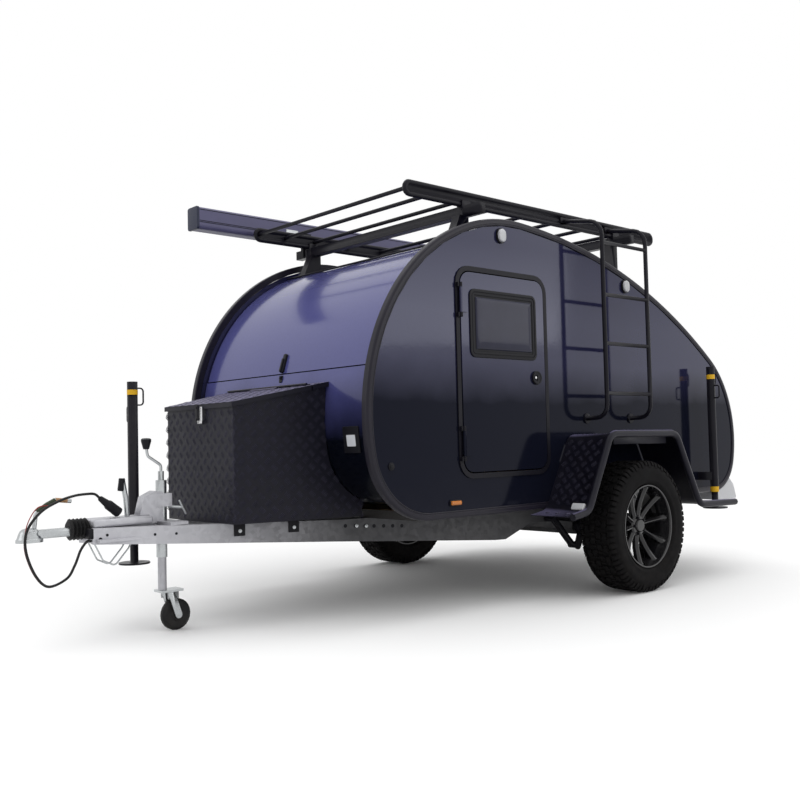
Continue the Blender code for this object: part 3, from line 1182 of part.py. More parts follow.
def ahead_of_beams(point):
    """A cord's place, given ahead of the beams' front end."""
    return Vector((BEAM_FRONT_X + point[0], point[1], point[2]))


def cords():
    """Trailer lead with its plug on the cover plate, and the thin breakaway cable."""
    start, end = ahead_of_beams(PLUG_START), ahead_of_beams(PLUG_END)
    ahead = (end - start).normalized()
    lead = [ahead_of_beams(p) for p in LEAD_ROUTE] + [start - ahead * LEAD_SPACING, start]
    tube("lead_cable", smooth_route(lead, LEAD_SPACING), LEAD_RADIUS, "cable_black")
    plug = rod("lead_plug", start + ahead * TOUCH, start + ahead * 0.050, 0.012, "black_coat", 16, 0.020)
    join(plug, rod("barrel", start + ahead * 0.046, end, PLUG_RADIUS, "black_coat", 16))
    handle_x, handle_z = HANDLE_ROUTE[2]
    at_handle = ahead_of_beams((handle_x, HANDLE_RADIUS + 2 * TOUCH, handle_z - 0.003))
    safety = [ahead_of_beams(p) for p in BREAKAWAY_ROUTE] + [at_handle + Vector((0, BREAKAWAY_SPACING, 0)), at_handle]
    tube("breakaway_cable", smooth_route(safety, BREAKAWAY_SPACING), BREAKAWAY_RADIUS, "cable_red")


def build():
    side_walls()
    body_skins()
    cabin_floor()
    bulkhead()
    hatches()
    doors()
    chassis()
    axle()
    swing_arms()
    shocks()
    wheels()
    coupling()
    cover_plate()
    jockey()
    toolbox()
    fenders()
    roof_rack()
    awning()
    ladder()
    stabiliser_legs()
    tail_lamps()
    cords()
    carrier = bpy.data.objects.new("trailer_on_floor", None)
    TRAILER.objects.link(carrier)
    carrier.location = (AXLE_X, 0, 0)
    for piece in TRAILER.objects:
        if piece is not carrier:
            piece.parent = carrier


empty_the_scene()
TRAILER = new_collection("teardrop_trailer")
build()
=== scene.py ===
# %% [markdown]
# # An off-road teardrop trailer
# A teardrop is a small sleeping cabin with two flat side walls and one curved skin wrapped between them.
# This notebook dresses the trailer's packed construction: it gives every surface its finish, and swaps the
# pieces whose curves have to be smooth (skins, rims, tyres, lamps, cords) for finer meshes.
# Everything is in metres, +X towards the coupling, +Y to the trailer's left, +Z up, floor at zero.

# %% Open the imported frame
import json
import math

import bmesh
import bpy
from mathutils import Matrix, Vector


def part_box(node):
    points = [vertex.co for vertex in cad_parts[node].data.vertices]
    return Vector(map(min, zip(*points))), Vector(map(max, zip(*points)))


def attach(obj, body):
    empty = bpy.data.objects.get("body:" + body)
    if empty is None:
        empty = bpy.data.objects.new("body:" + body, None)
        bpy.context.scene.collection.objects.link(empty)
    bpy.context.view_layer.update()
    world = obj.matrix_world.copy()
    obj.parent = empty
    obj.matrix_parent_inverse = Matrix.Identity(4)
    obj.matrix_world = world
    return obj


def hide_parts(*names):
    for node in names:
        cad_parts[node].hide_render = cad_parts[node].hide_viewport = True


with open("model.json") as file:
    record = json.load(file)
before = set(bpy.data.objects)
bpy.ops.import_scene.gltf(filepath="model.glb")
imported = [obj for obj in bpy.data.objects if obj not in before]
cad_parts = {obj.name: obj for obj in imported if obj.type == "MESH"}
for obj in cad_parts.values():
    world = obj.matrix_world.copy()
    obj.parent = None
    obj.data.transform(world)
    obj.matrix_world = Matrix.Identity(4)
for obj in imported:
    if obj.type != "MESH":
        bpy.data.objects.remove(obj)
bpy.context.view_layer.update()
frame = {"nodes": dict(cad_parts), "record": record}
NODES = frame["nodes"]
AXLE_X = sum(corner.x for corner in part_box("tyre_left")) / 2
WHEEL_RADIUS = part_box("tyre_left")[1].z / 2
BODY_HALF_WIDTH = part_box("side_wall_left")[1].y
print("frame with", len(NODES), "nodes, axle at x =", round(AXLE_X, 3))


def spot(x, y, z):
    """A place given from the axle line, as the trailer's drawings do."""
    return Vector((x + AXLE_X, y, z))


# %% Tools for node trees


def put(tree, kind, **values):
    """A new node, with some of its inputs set by their labels."""
    made = tree.nodes.new(kind)
    for label, value in values.items():
        made.inputs[label.replace("_", " ")].default_value = value
    return made


def wire(tree, source, target):
    tree.links.new(source, target)


def reckon(tree, operation, *values, clamp=False):
    """A Math node on numbers or outputs."""
    made = tree.nodes.new("ShaderNodeMath")
    made.operation, made.use_clamp = operation, clamp
    for socket, value in zip(made.inputs, values):
        if isinstance(value, (int, float)):
            socket.default_value = value
        else:
            wire(tree, value, socket)
    return made.outputs[0]


def ramp(tree, value, low, high, new_low=0.0, new_high=1.0):
    """Stretch a range of values onto another and stop at its ends."""
    made = put(tree, "ShaderNodeMapRange", From_Min=low, From_Max=high, To_Min=new_low, To_Max=new_high)
    wire(tree, value, made.inputs["Value"])
    return made.outputs["Result"]


def mix(tree, factor, first, second):
    """Mix two colours, each a colour or an output, by an output's value."""
    made = tree.nodes.new("ShaderNodeMix")
    made.data_type = "RGBA"
    wire(tree, factor, made.inputs["Factor"])
    for value, socket in ((first, made.inputs["A"]), (second, made.inputs["B"])):
        if isinstance(value, tuple):
            socket.default_value = (*value, 1)
        else:
            wire(tree, value, socket)
    return made.outputs["Result"]


# %% [markdown]
# ## Camera, floor and light
# The camera stands at the photograph's viewpoint, in front of the trailer's left corner at the height of a
# kneeling person. A flat pale floor, white to the camera like the world behind it, shows little horizon line,
# so nothing competes with the object. The light is a wide box overhead, a long one on the trailer's left and
# a smaller one ahead.

# %% Camera
CAMERA_PLACE = (3.54717876, 3.87776647, 0.82446145)
CAMERA_RIGHT = (-0.7447, 0.6670, -0.0240)
CAMERA_UP = (0.0102, 0.0474, 0.9988)
CAMERA_BACK = (0.6674, 0.7435, -0.0421)
CAMERA_LENS = 42.64


def place_camera():
    data = bpy.data.cameras.new("camera")
    data.lens = CAMERA_LENS
    data.sensor_width = 36.0
    camera = bpy.data.objects.new("camera", data)
    bpy.context.scene.collection.objects.link(camera)
    axes = Matrix((CAMERA_RIGHT, CAMERA_UP, CAMERA_BACK)).transposed()
    camera.matrix_world = Matrix.Translation(CAMERA_PLACE) @ axes.to_quaternion().to_matrix().to_4x4()
    bpy.context.scene.camera = camera


place_camera()

# %% Floor, backdrop and lamps
FLOOR_SEEN = (1.0, 1.0, 1.0)
FLOOR_BOUNCE = (0.26, 0.26, 0.27)
FLOOR_HALF = 30.0
WORLD_SEEN = 1.0
WORLD_LIGHT = 1.0
LAMP_TABLE = (  # name, place, aim, width, height, power
    ("overhead", (0.0, 0.5, 5.5), (0.0, 0.0, 0.8), 7.0, 5.0, 60.0),
    ("left_side", (-3.5, 6.0, 3.2), (-0.3, 0.5, 0.9), 5.0, 2.6, 50.0),
    ("front", (5.5, -1.2, 3.0), (1.2, 0.0, 0.8), 2.5, 2.5, 22.0),
)


def seen_mask(tree):
    """1 for rays from the camera, also by way of a mirror or glass, and 0 for rays that only light things."""
    path = tree.nodes.new("ShaderNodeLightPath")
    mask = path.outputs["Is Camera Ray"]
    for other in ("Is Glossy Ray", "Is Transmission Ray"):
        mask = reckon(tree, "MAXIMUM", mask, path.outputs[other])
    return mask


def floor_material():
    """White paper to the eye; it throws back less light, as the dark ground under a trailer does."""
    material = bpy.data.materials.new("floor")
    material.use_nodes = True
    tree = material.node_tree
    shader = tree.nodes["Principled BSDF"]
    wire(tree, mix(tree, seen_mask(tree), FLOOR_BOUNCE, FLOOR_SEEN), shader.inputs["Base Color"])
    shader.inputs["Roughness"].default_value = 0.9
    shader.inputs["Specular IOR Level"].default_value = 0.0
    return material


def lay_floor():
    bpy.ops.mesh.primitive_grid_add(x_subdivisions=8, y_subdivisions=8, size=2 * FLOOR_HALF)
    floor = bpy.context.object
    floor.name = "floor"
    floor.data.materials.append(floor_material())


def light_world():
    world = bpy.data.worlds.new("studio")
    bpy.context.scene.world = world
    world.use_nodes = True
    tree = world.node_tree
    background = tree.nodes["Background"]
    background.inputs["Color"].default_value = (1.0, 1.0, 1.0, 1)
    strength = ramp(tree, seen_mask(tree), 0.0, 1.0, WORLD_LIGHT, WORLD_SEEN)
    wire(tree, strength, background.inputs["Strength"])


def hang_lamps():
    for name, place, aim, width, height, power in LAMP_TABLE:
        data = bpy.data.lights.new(name, "AREA")
        data.shape = "RECTANGLE"
        data.size, data.size_y, data.energy = width, height, power
        lamp = bpy.data.objects.new(name, data)
        bpy.context.scene.collection.objects.link(lamp)
        lamp.location = place
        lamp.rotation_euler = (Vector(aim) - Vector(place)).to_track_quat("-Z", "Y").to_euler()


lay_floor()
light_world()
hang_lamps()
bpy.context.scene.view_settings.view_transform = "Standard"

# %% [markdown]
# ## Small tools for meshes
# Each tool adds one shape to a bmesh, so that a piece made of many parts is still one mesh. `settle` turns
# the finished bmesh into an object, gives it its material, and says which moving body it belongs to.

# %% Mesh tools


def settle(name, shape, material, body, smooth=40, replaces=()):
    """Make a bmesh a piece: its name, finish, body, and the frame's nodes that it stands for."""
    bmesh.ops.recalc_face_normals(shape, faces=shape.faces)
    mesh = bpy.data.meshes.new(name)
    shape.to_mesh(mesh)
    shape.free()
    return settle_mesh(name, mesh, material, body, smooth, replaces)


def settle_mesh(name, mesh, material, body, smooth=40, replaces=()):
    mesh.materials.clear()
    mesh.materials.append(material)
    if smooth:
        mesh.shade_smooth()
        mesh.set_sharp_from_angle(angle=math.radians(smooth))
    piece = bpy.data.objects.new(name, mesh)
    bpy.context.scene.collection.objects.link(piece)
    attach(piece, body)
    if replaces:
        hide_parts(*replaces)
    return piece


def add_block(shape, low, high, bevel=0.0, segments=2):
    """A box between two corners, with rounded edges."""
    low, high = Vector(low), Vector(high)
    made = bmesh.ops.create_cube(shape, size=1.0)["verts"]
    for vertex in made:
        vertex.co = Vector([low[i] + (vertex.co[i] + 0.5) * (high[i] - low[i]) for i in range(3)])
    if bevel:
        edges = list({edge for vertex in made for edge in vertex.link_edges})
        bmesh.ops.bevel(shape, geom=edges, offset=bevel, segments=segments, profile=0.5, affect="EDGES",
                        clamp_overlap=True)


def add_rod(shape, start, end, radius, sides=20, end_radius=None):
    """A round bar between two points."""
    start, end = Vector(start), Vector(end)
    turn = Vector((0, 0, 1)).rotation_difference(end - start).to_matrix().to_4x4()
    bmesh.ops.create_cone(shape, cap_ends=True, segments=sides, radius1=radius,
                          radius2=radius if end_radius is None else end_radius, depth=(end - start).length,
                          matrix=Matrix.Translation((start + end) / 2) @ turn)


def join_rings(shape, rings, closed=False, caps=True):
    """Faces between rings of as many points. Closed rings meet again; others get a cap at each end."""
    for low, high in zip(rings, rings[1:] + (rings[:1] if closed else [])):
        for i in range(len(low)):
            j = (i + 1) % len(low)
            shape.faces.new((low[i], low[j], high[j], high[i]))
    if caps and not closed:
        shape.faces.new(rings[0][::-1])
        shape.faces.new(rings[-1])


def add_lathe(shape, profile, axis, centre, steps=64):
    """A closed profile of (radius, along) points, turned about X, Y or Z through a centre."""
    turn = {"X": Matrix.Rotation(math.pi / 2, 4, "Y"), "Y": Matrix.Rotation(-math.pi / 2, 4, "X"),
            "Z": Matrix.Identity(4)}[axis]
    place = Matrix.Translation(centre) @ turn
    rings = []
    for radius, along in profile:
        if radius < 1e-6:
            rings.append([shape.verts.new(place @ Vector((0, 0, along)))])
            continue
        angles = [2 * math.pi * i / steps for i in range(steps)]
        rings.append([shape.verts.new(place @ Vector((radius * math.cos(a), radius * math.sin(a), along)))
                      for a in angles])
    for lower, upper in zip(rings, rings[1:] + rings[:1]):
        for i in range(steps):
            j = (i + 1) % steps
            corners = [ring[k % len(ring)] for ring, k in ((lower, i), (lower, j), (upper, j), (upper, i))]
            corners = list(dict.fromkeys(corners))
            if len(corners) > 2:
                shape.faces.new(corners)


def add_pipe(shape, points, radius, sides=12):
    """A round tube along points, without twist; radius may be a number or one for each point."""
    points = [Vector(p) for p in points]
    radii = radius if isinstance(radius, (list, tuple)) else [radius] * len(points)
    rings, normal, before = [], None, None
    for i, point in enumerate(points):
        ahead = points[i + 1] if i + 1 < len(points) else point
        back = points[i - 1] if i else point
        along = (ahead - back).normalized()
        if normal is None:
            normal = along.orthogonal().normalized()
        else:
            normal = before.rotation_difference(along) @ normal
            normal = (normal - along * normal.dot(along)).normalized()
        before = along
        side = along.cross(normal)
        rings.append([shape.verts.new(point + (normal * math.cos(a) + side * math.sin(a)) * radii[i])
                      for a in (2 * math.pi * k / sides for k in range(sides))])
    join_rings(shape, rings)


def arc(centre, radius, start_deg, end_deg, steps):
    angles = [math.radians(start_deg + (end_deg - start_deg) * i / steps) for i in range(steps + 1)]
    return [(centre[0] + radius * math.cos(a), centre[1] + radius * math.sin(a)) for a in angles]


def rounded_rectangle(low, high, radius, steps=10):
    corners = (((high[0] - radius, low[1] + radius), -90), ((high[0] - radius, high[1] - radius), 0),
               ((low[0] + radius, high[1] - radius), 90), ((low[0] + radius, low[1] + radius), 180))
    return [p for centre, start in corners for p in arc(centre, radius, start, start + 90, steps)]


def rounded_path(points, radius, steps=8):
    """A chain of points whose inner corners are rounded."""
    path = [Vector(points[0])]
    for before, corner, after in zip(points, points[1:], points[2:]):
        before, corner, after = Vector(before), Vector(corner), Vector(after)
        back, ahead = (before - corner).normalized(), (after - corner).normalized()
        half = back.angle(ahead) / 2
        longest = 0.49 * min((before - corner).length, (after - corner).length)
        setback = min(radius / math.tan(half), longest)
        fitted = setback * math.tan(half)
        centre = corner + (back + ahead).normalized() * (fitted / math.sin(half))
        start = (corner + back * setback - centre).normalized()
        end = (corner + ahead * setback - centre).normalized()
        path += [centre + start.slerp(end, i / steps) * fitted for i in range(steps + 1)]
    return path + [Vector(points[-1])]


def mirror_shape(shape):
    """The same shape on the trailer's other side."""
    twin = shape.copy()
    bmesh.ops.scale(twin, vec=(1, -1, 1), verts=twin.verts)
    bmesh.ops.reverse_faces(twin, faces=twin.faces)
    return twin


def both_sides(name, shape, material, bodies, smooth=40, replaces=((), ())):
    """A left piece and its mirror image, each on its own body."""
    twin = mirror_shape(shape)
    left = settle(name + "_left", shape, material, bodies[0], smooth, replaces[0])
    right = settle(name + "_right", twin, material, bodies[1], smooth, replaces[1])
    return left, right


# %% [markdown]
# ## Shared effects for the materials
# Real surfaces are never one flat value. Three small node groups carry what the finishes have in common:
# a slow mottle, a fine grain that lifts the surface, and dust that settles where a face looks up. Each one is
# built once and used with other numbers in every material.

# %% Shader groups


def new_group(name, output, **inputs):
    """A shader group with number inputs and one number output."""
    group = bpy.data.node_groups.new(name, "ShaderNodeTree")
    for label, value in inputs.items():
        socket = group.interface.new_socket(label, in_out="INPUT", socket_type="NodeSocketFloat")
        socket.default_value = value
    group.interface.new_socket(output, in_out="OUTPUT", socket_type="NodeSocketFloat")
    return group, group.nodes.new("NodeGroupInput"), group.nodes.new("NodeGroupOutput")


def scaled_noise(group, start, **values):
    """Noise over the object at the group's own scale."""
    noise = put(group, "ShaderNodeTexNoise", **values)
    wire(group, put(group, "ShaderNodeTexCoord").outputs["Object"], noise.inputs["Vector"])
    wire(group, start.outputs["Scale"], noise.inputs["Scale"])
    return noise


def make_mottle_group():
    """Slow light and dark patches: 0 to 1, about one half."""
    group, start, end = new_group("mottle", "Factor", Scale=6.0, Contrast=1.0)
    noise = scaled_noise(group, start, Detail=5.0)
    centred = reckon(group, "SUBTRACT", noise.outputs["Fac"], 0.5)
    spread = reckon(group, "MULTIPLY_ADD", centred, start.outputs["Contrast"], 0.5, clamp=True)
    wire(group, spread, end.inputs["Factor"])
    return group


def make_grain_group():
    """Fine lumps: a height for a Bump node."""
    group, start, end = new_group("grain", "Height", Scale=400.0, Roughness=0.6)
    noise = scaled_noise(group, start, Detail=3.0)
    wire(group, start.outputs["Roughness"], noise.inputs["Roughness"])
    wire(group, noise.outputs["Fac"], end.inputs["Height"])
    return group


def make_dust_group():
    """Dust where a face looks up and near the road: a mask from 0 to the amount."""
    group, start, end = new_group("dust", "Mask", Amount=0.3, Scale=9.0)
    heights = []
    for kind, output in (("ShaderNodeNewGeometry", "Normal"), ("ShaderNodeTexCoord", "Object")):
        split = put(group, "ShaderNodeSeparateXYZ")
        wire(group, put(group, kind).outputs[output], split.inputs[0])
        heights.append(split.outputs["Z"])
    looks_up = ramp(group, heights[0], 0.2, 1.0)
    near_road = ramp(group, heights[1], 0.75, 0.15, 0.0, 0.7)
    most = reckon(group, "MAXIMUM", looks_up, near_road)
    noise = scaled_noise(group, start, Detail=8.0, Roughness=0.65)
    patches = ramp(group, noise.outputs["Fac"], 0.38, 0.70)
    amount = reckon(group, "MULTIPLY", patches, start.outputs["Amount"])
    wire(group, reckon(group, "MULTIPLY", amount, most, clamp=True), end.inputs["Mask"])
    return group


GROUPS = {"mottle": make_mottle_group(), "grain": make_grain_group(), "dust": make_dust_group()}
print("shader groups:", ", ".join(GROUPS))

# %% [markdown]
# ## Finishes
# Most surfaces of a trailer are a coat over metal or a moulded plastic: one base colour with a slow mottle, a
# little dust, and a grain in the coat. They come from one table. Zinc, tread plate, rubber, wood and glass
# behave differently, so each has its own short function.

# %% Coats and plastics
DUST_COLOUR = (0.20, 0.18, 0.155)
COAT_ROUGHNESS = 0.05
SKY_TINT = (0.80, 0.82, 1.0, 1.0)
SHINE_FADES = (1.42, 1.78)  # between these heights above the floor


class Finish:
    """A material being built: its node tree, and the nodes that most finishes share."""

    def __init__(self, name, colour, roughness, metallic=0.0):
        self.material = bpy.data.materials.new(name)
        self.material.use_nodes = True
        self.material.diffuse_color = (*colour, 1)
        self.tree = self.material.node_tree
        self.shader = self.tree.nodes["Principled BSDF"]
        self.shader.inputs["Base Color"].default_value = (*colour, 1)
        self.shader.inputs["Roughness"].default_value = roughness
        self.shader.inputs["Metallic"].default_value = metallic

    def node(self, kind, **values):
        return put(self.tree, kind, **values)

    def link(self, source, target):
        wire(self.tree, source, target)

    def drive(self, label, source):
        """Let an output set one of the shader's inputs."""
        self.link(source, self.shader.inputs[label])

    def adjust(self, **values):
        """Set the shader's inputs by their labels."""
        for label, value in values.items():
            self.shader.inputs[label.replace("_", " ")].default_value = value

    def group(self, name, output, **values):
        made = self.node("ShaderNodeGroup")
        made.node_tree = GROUPS[name]
        for label, value in values.items():
            made.inputs[label].default_value = value
        return made.outputs[output]

    def patches(self, scale, contrast):
        return self.group("mottle", "Factor", Scale=scale, Contrast=contrast)

    def mix(self, factor, first, second):
        return mix(self.tree, factor, first, second)

    def ramp(self, value, low, high, new_low=0.0, new_high=1.0):
        return ramp(self.tree, value, low, high, new_low, new_high)

    def place(self):
        return self.node("ShaderNodeTexCoord").outputs["Object"]

    def normal(self):
        return self.node("ShaderNodeNewGeometry").outputs["Normal"]

    def axis(self, vector, letter):
        """One coordinate of a place or a normal."""
        split = self.node("ShaderNodeSeparateXYZ")
        self.link(vector, split.inputs[0])
        return split.outputs[letter]

    def stretched_noise(self, stretch, **values):
        """Noise drawn out along X, for scratches and wood grain."""
        mapping = self.node("ShaderNodeMapping", Scale=stretch)
        noise = self.node("ShaderNodeTexNoise", **values)
        self.link(self.place(), mapping.inputs["Vector"])
        self.link(mapping.outputs["Vector"], noise.inputs["Vector"])
        return noise.outputs["Fac"]

    def dusted(self, base, dust_colour=DUST_COLOUR, **values):
        """Give the shader a base colour with dust over it."""
        self.drive("Base Color", self.mix(self.group("dust", "Mask", **values), base, dust_colour))

    def bump(self, height, distance, strength=1.0):
        made = self.node("ShaderNodeBump", Strength=strength, Distance=distance)
        self.link(height, made.inputs["Height"])
        self.drive("Normal", made.outputs["Normal"])

    def lumps(self, scale, height, strength=1.0):
        """The fine grain of a coat, its height in metres."""
        self.bump(self.group("grain", "Height", Scale=scale), height, strength)


def tint(colour, factor):
    """A colour made darker or lighter."""
    return tuple(min(1.0, c * factor) for c in colour)


def coat(name, colour, roughness, metallic, mottle, grain, dust, gloss_coat, specular=0.22):
    """A painted, powder-coated or moulded surface. mottle: scale, depth. grain: scale, height in metres."""
    made = Finish(name, colour, roughness, metallic)
    patches = made.patches(mottle[0], 1.6)
    made.dusted(made.mix(patches, tint(colour, 1 - mottle[1]), tint(colour, 1 + mottle[1])), Amount=dust)
    made.drive("Roughness", made.ramp(patches, 0.0, 1.0, max(0.03, roughness - 0.05), roughness + 0.07))
    made.lumps(*grain)
    made.adjust(Coat_Weight=gloss_coat, Coat_Roughness=COAT_ROUGHNESS, Specular_IOR_Level=specular)
    return made.material


def paint_with_painted_reflection(name, ground, sky, by_slope, low, high, roughness, gloss_coat, shine):
    """Gloss paint with a painted reflection in its base colour: dark ground and trees below an uneven line,
    the sky's tone above it.
    """
    made = Finish(name, sky, roughness)
    # Painted reflection: the base colour turns from the ground's to the sky's across a height on the walls
    # and a slope on the skin.
    level = made.axis(made.normal() if by_slope else made.place(), "Z")
    patches = made.patches(2.6, 1.6)
    uneven = reckon(made.tree, "MULTIPLY_ADD", patches, 0.5 * (high - low), level)
    line = made.ramp(uneven, low + 0.25 * (high - low), high + 0.25 * (high - low))
    painted_sky_reflection = made.mix(made.patches(90.0, 1.2), tint(sky, 0.93), tint(sky, 1.07))
    made.dusted(made.mix(line, ground, painted_sky_reflection), Amount=0.04)
    made.drive("Roughness", made.ramp(patches, 0.0, 1.0, roughness - 0.02, roughness + 0.04))
    made.lumps(14.0, 0.00020)
    made.adjust(Coat_Weight=gloss_coat, Coat_Roughness=COAT_ROUGHNESS, Specular_Tint=SKY_TINT)
    faded = made.ramp(made.axis(made.place(), "Z"), *SHINE_FADES, 1.0, 0.85 if by_slope else 0.50)
    shining = made.ramp(line, 0.0, 1.0, 0.10, shine)
    made.drive("Specular IOR Level", reckon(made.tree, "MULTIPLY", shining, faded))
    return made.material


COATS = (  # name, colour, roughness, metallic, mottle, grain, dust, gloss coat, specular
    ("edge_trim", (0.013, 0.0115, 0.020), 0.34, 0.0, (9.0, 0.25), (320.0, 0.00015), 0.05, 0.05, 0.20),
    ("black_coat", (0.009, 0.0085, 0.013), 0.34, 0.0, (7.0, 0.20), (900.0, 0.00012), 0.05, 0.0, 0.14),
    ("awning_coat", (0.112, 0.107, 0.190), 0.38, 0.0, (7.0, 0.12), (900.0, 0.00010), 0.08, 0.0),
    ("moulded_black", (0.009, 0.009, 0.012), 0.42, 0.0, (12.0, 0.20), (1300.0, 0.00015), 0.05, 0.0, 0.16),
    ("seal_rubber", (0.010, 0.010, 0.011), 0.62, 0.0, (14.0, 0.20), (700.0, 0.00015), 0.12, 0.0),
    ("rim_black", (0.009, 0.009, 0.011), 0.16, 0.2, (9.0, 0.20), (200.0, 0.00005), 0.08, 0.60),
    ("cap_grey", (0.030, 0.035, 0.062), 0.42, 0.0, (12.0, 0.10), (900.0, 0.00010), 0.06, 0.0),
    ("cable_black", (0.014, 0.014, 0.015), 0.46, 0.0, (40.0, 0.15), (600.0, 0.00010), 0.10, 0.0),
    ("cable_red", (0.33, 0.018, 0.016), 0.36, 0.0, (60.0, 0.15), (900.0, 0.00005), 0.06, 0.0),
    ("band_yellow", (0.80, 0.46, 0.02), 0.40, 0.0, (30.0, 0.10), (500.0, 0.00005), 0.06, 0.0),
    ("label_white", (0.74, 0.76, 0.80), 0.40, 0.0, (30.0, 0.05), (500.0, 0.00003), 0.04, 0.0),
    ("olive_sleeve", (0.040, 0.055, 0.032), 0.42, 0.0, (30.0, 0.20), (500.0, 0.00010), 0.04, 0.0),
    ("grip_tan", (0.42, 0.24, 0.12), 0.55, 0.0, (40.0, 0.20), (500.0, 0.00010), 0.10, 0.0),
)
FINISHES = {row[0]: coat(*row) for row in COATS}
PAINTED_REFLECTION_PAINTS = (  # name, painted ground reflection, painted sky reflection, by slope, the painted line's low and high, roughness, gloss coat, shine
    ("wall_paint", (0.006, 0.007, 0.015), (0.018, 0.018, 0.052), False, 1.00, 1.20, 0.08, 0.0, 0.62),
    ("skin_paint", (0.002, 0.003, 0.007), (0.070, 0.073, 0.225), True, -0.12, 0.24, 0.16, 0.20, 0.45),
)
FINISHES.update((row[0], paint_with_painted_reflection(*row)) for row in PAINTED_REFLECTION_PAINTS)

# %% Metals


def zinc(name, colour, roughness, spangle, dust):
    """Hot-dip zinc: flat crystals that each catch the light a little differently, with painted light and
    shade along the beams.
    """
    made = Finish(name, colour, roughness, 0.60)
    place = made.place()
    crystals = made.node("ShaderNodeTexVoronoi", Scale=spangle)
    made.link(place, crystals.inputs["Vector"])
    shade = made.node("ShaderNodeSeparateColor")
    made.link(crystals.outputs["Color"], shade.inputs["Color"])
    crystal = made.mix(shade.outputs["Red"], tint(colour, 0.78), colour)
    worn = made.ramp(made.patches(14.0, 1.4), 0.0, 1.0, 0.0, 0.35)
    base = made.mix(worn, crystal, tint(colour, 0.60))
    # Painted light and shade: lighter towards the coupling where the beams stand in the open, much darker
    # rearwards under the body.
    x_for_painted_light = made.axis(place, "X")
    base = made.mix(made.ramp(x_for_painted_light, 1.15, 1.65, 0.0, 0.75), base, tint(colour, 1.9))
    base = made.mix(made.ramp(x_for_painted_light, 0.70, 1.20), tint(colour, 0.22), base)
    made.dusted(base, Amount=dust)
    made.drive("Roughness", made.ramp(shade.outputs["Green"], 0.0, 1.0, roughness - 0.10, roughness + 0.12))
    made.lumps(160.0, 0.0003, 0.6)
    return made.material


def tread_plate_with_painted_light(name, colour, upper, roughness, metallic):
    """Powder-coated chequer plate with painted sky light: faces that look up are painted lighter, upright
    faces keep the dark colour.
    """
    made = Finish(name, colour, roughness, metallic)
    # Painted light: the faces that look up are given the lighter colour of the sky's light on them.
    looks_up = made.ramp(made.axis(made.normal(), "Z"), 0.80, 0.96)
    patches = made.patches(8.0, 1.5)
    upright = made.mix(patches, colour, tint(colour, 1.5))
    made.dusted(made.mix(looks_up, upright, upper), Amount=0.06, Scale=14.0)
    made.drive("Roughness", made.ramp(patches, 0.0, 1.0, roughness - 0.06, roughness + 0.10))
    made.adjust(Specular_IOR_Level=0.22)
    made.lumps(450.0, 0.0003)
    return made.material


def bright_metal(name, colour, roughness):
    """Bright zinc plate or stainless steel with fine scratches."""
    made = Finish(name, colour, roughness, 1.0)
    scratches = made.stretched_noise((30.0, 900.0, 900.0), Scale=1.0, Detail=3.0)
    made.drive("Base Color", made.mix(made.patches(25.0, 1.5), tint(colour, 0.8), colour))
    made.drive("Roughness", made.ramp(scratches, 0.3, 0.7, roughness * 0.7, roughness * 1.4))
    made.bump(scratches, 0.00003)
    return made.material


FINISHES["galvanised"] = zinc("galvanised", (0.33, 0.33, 0.35), 0.50, 55.0, 0.10)
FINISHES["zinc_plate"] = bright_metal("zinc_plate", (0.50, 0.52, 0.53), 0.30)
FINISHES["steel_bright"] = bright_metal("steel_bright", (0.70, 0.70, 0.71), 0.20)
TREAD_PLATES = (  # name, colour, colour of upper faces with painted sky light, roughness, metallic
    ("diamond_plate", (0.0052, 0.0050, 0.0105), (0.122, 0.112, 0.200), 0.40, 0.1),
    ("diamond_bars", (0.020, 0.019, 0.034), (0.250, 0.232, 0.360), 0.30, 0.4),
)
FINISHES.update((row[0], tread_plate_with_painted_light(*row)) for row in TREAD_PLATES)

# %% Rubber, wood, glass and lenses


WOOD_DARK, WOOD_LIGHT = (0.34, 0.22, 0.12), (0.58, 0.43, 0.26)
FILM_DARK, FILM_LIGHT = (0.010, 0.009, 0.009), (0.022, 0.020, 0.019)


def tyre_rubber():
    """Black rubber that turns brown-grey with road dust in its grooves."""
    made = Finish("tyre", (0.016, 0.016, 0.017), 0.78)
    patches = made.patches(11.0, 1.8)
    base = made.mix(patches, (0.0035, 0.0035, 0.004), (0.008, 0.0075, 0.008))
    made.dusted(base, (0.05, 0.043, 0.039), Amount=0.22, Scale=30.0)
    made.adjust(Specular_IOR_Level=0.09)
    made.drive("Roughness", made.ramp(patches, 0.0, 1.0, 0.66, 0.88))
    made.lumps(700.0, 0.0003)
    return made.material


def wood(name, colour, roughness, roughest, relief, filmed=False):
    """Ply with long grain along the trailer. Filmed leaves only its upper face bare, the rest is dark."""
    made = Finish(name, colour, roughness)
    grain = made.stretched_noise((1.2, 18.0, 9.0), Scale=2.4, Detail=9.0, Roughness=0.65, Distortion=0.6)
    base = made.mix(made.ramp(grain, 0.35, 0.68), WOOD_DARK, WOOD_LIGHT)
    if filmed:
        looks_up = made.ramp(made.axis(made.normal(), "Z"), 0.7, 0.9)
        base = made.mix(looks_up, made.mix(grain, FILM_DARK, FILM_LIGHT), base)
    made.drive("Base Color", base)
    made.drive("Roughness", made.ramp(grain, 0.3, 0.7, roughest, 0.42))
    made.bump(grain, relief)
    return made.material


def dark_glass():
    """Tinted acrylic: almost black by day, with a hard reflection."""
    made = Finish("glass", (0.010, 0.011, 0.014), 0.05)
    patches = made.patches(9.0, 1.5)
    made.drive("Base Color", made.mix(patches, (0.020, 0.021, 0.040), (0.032, 0.033, 0.060)))
    made.drive("Roughness", made.ramp(patches, 0.0, 1.0, 0.03, 0.09))
    made.adjust(Specular_IOR_Level=0.20)
    return made.material


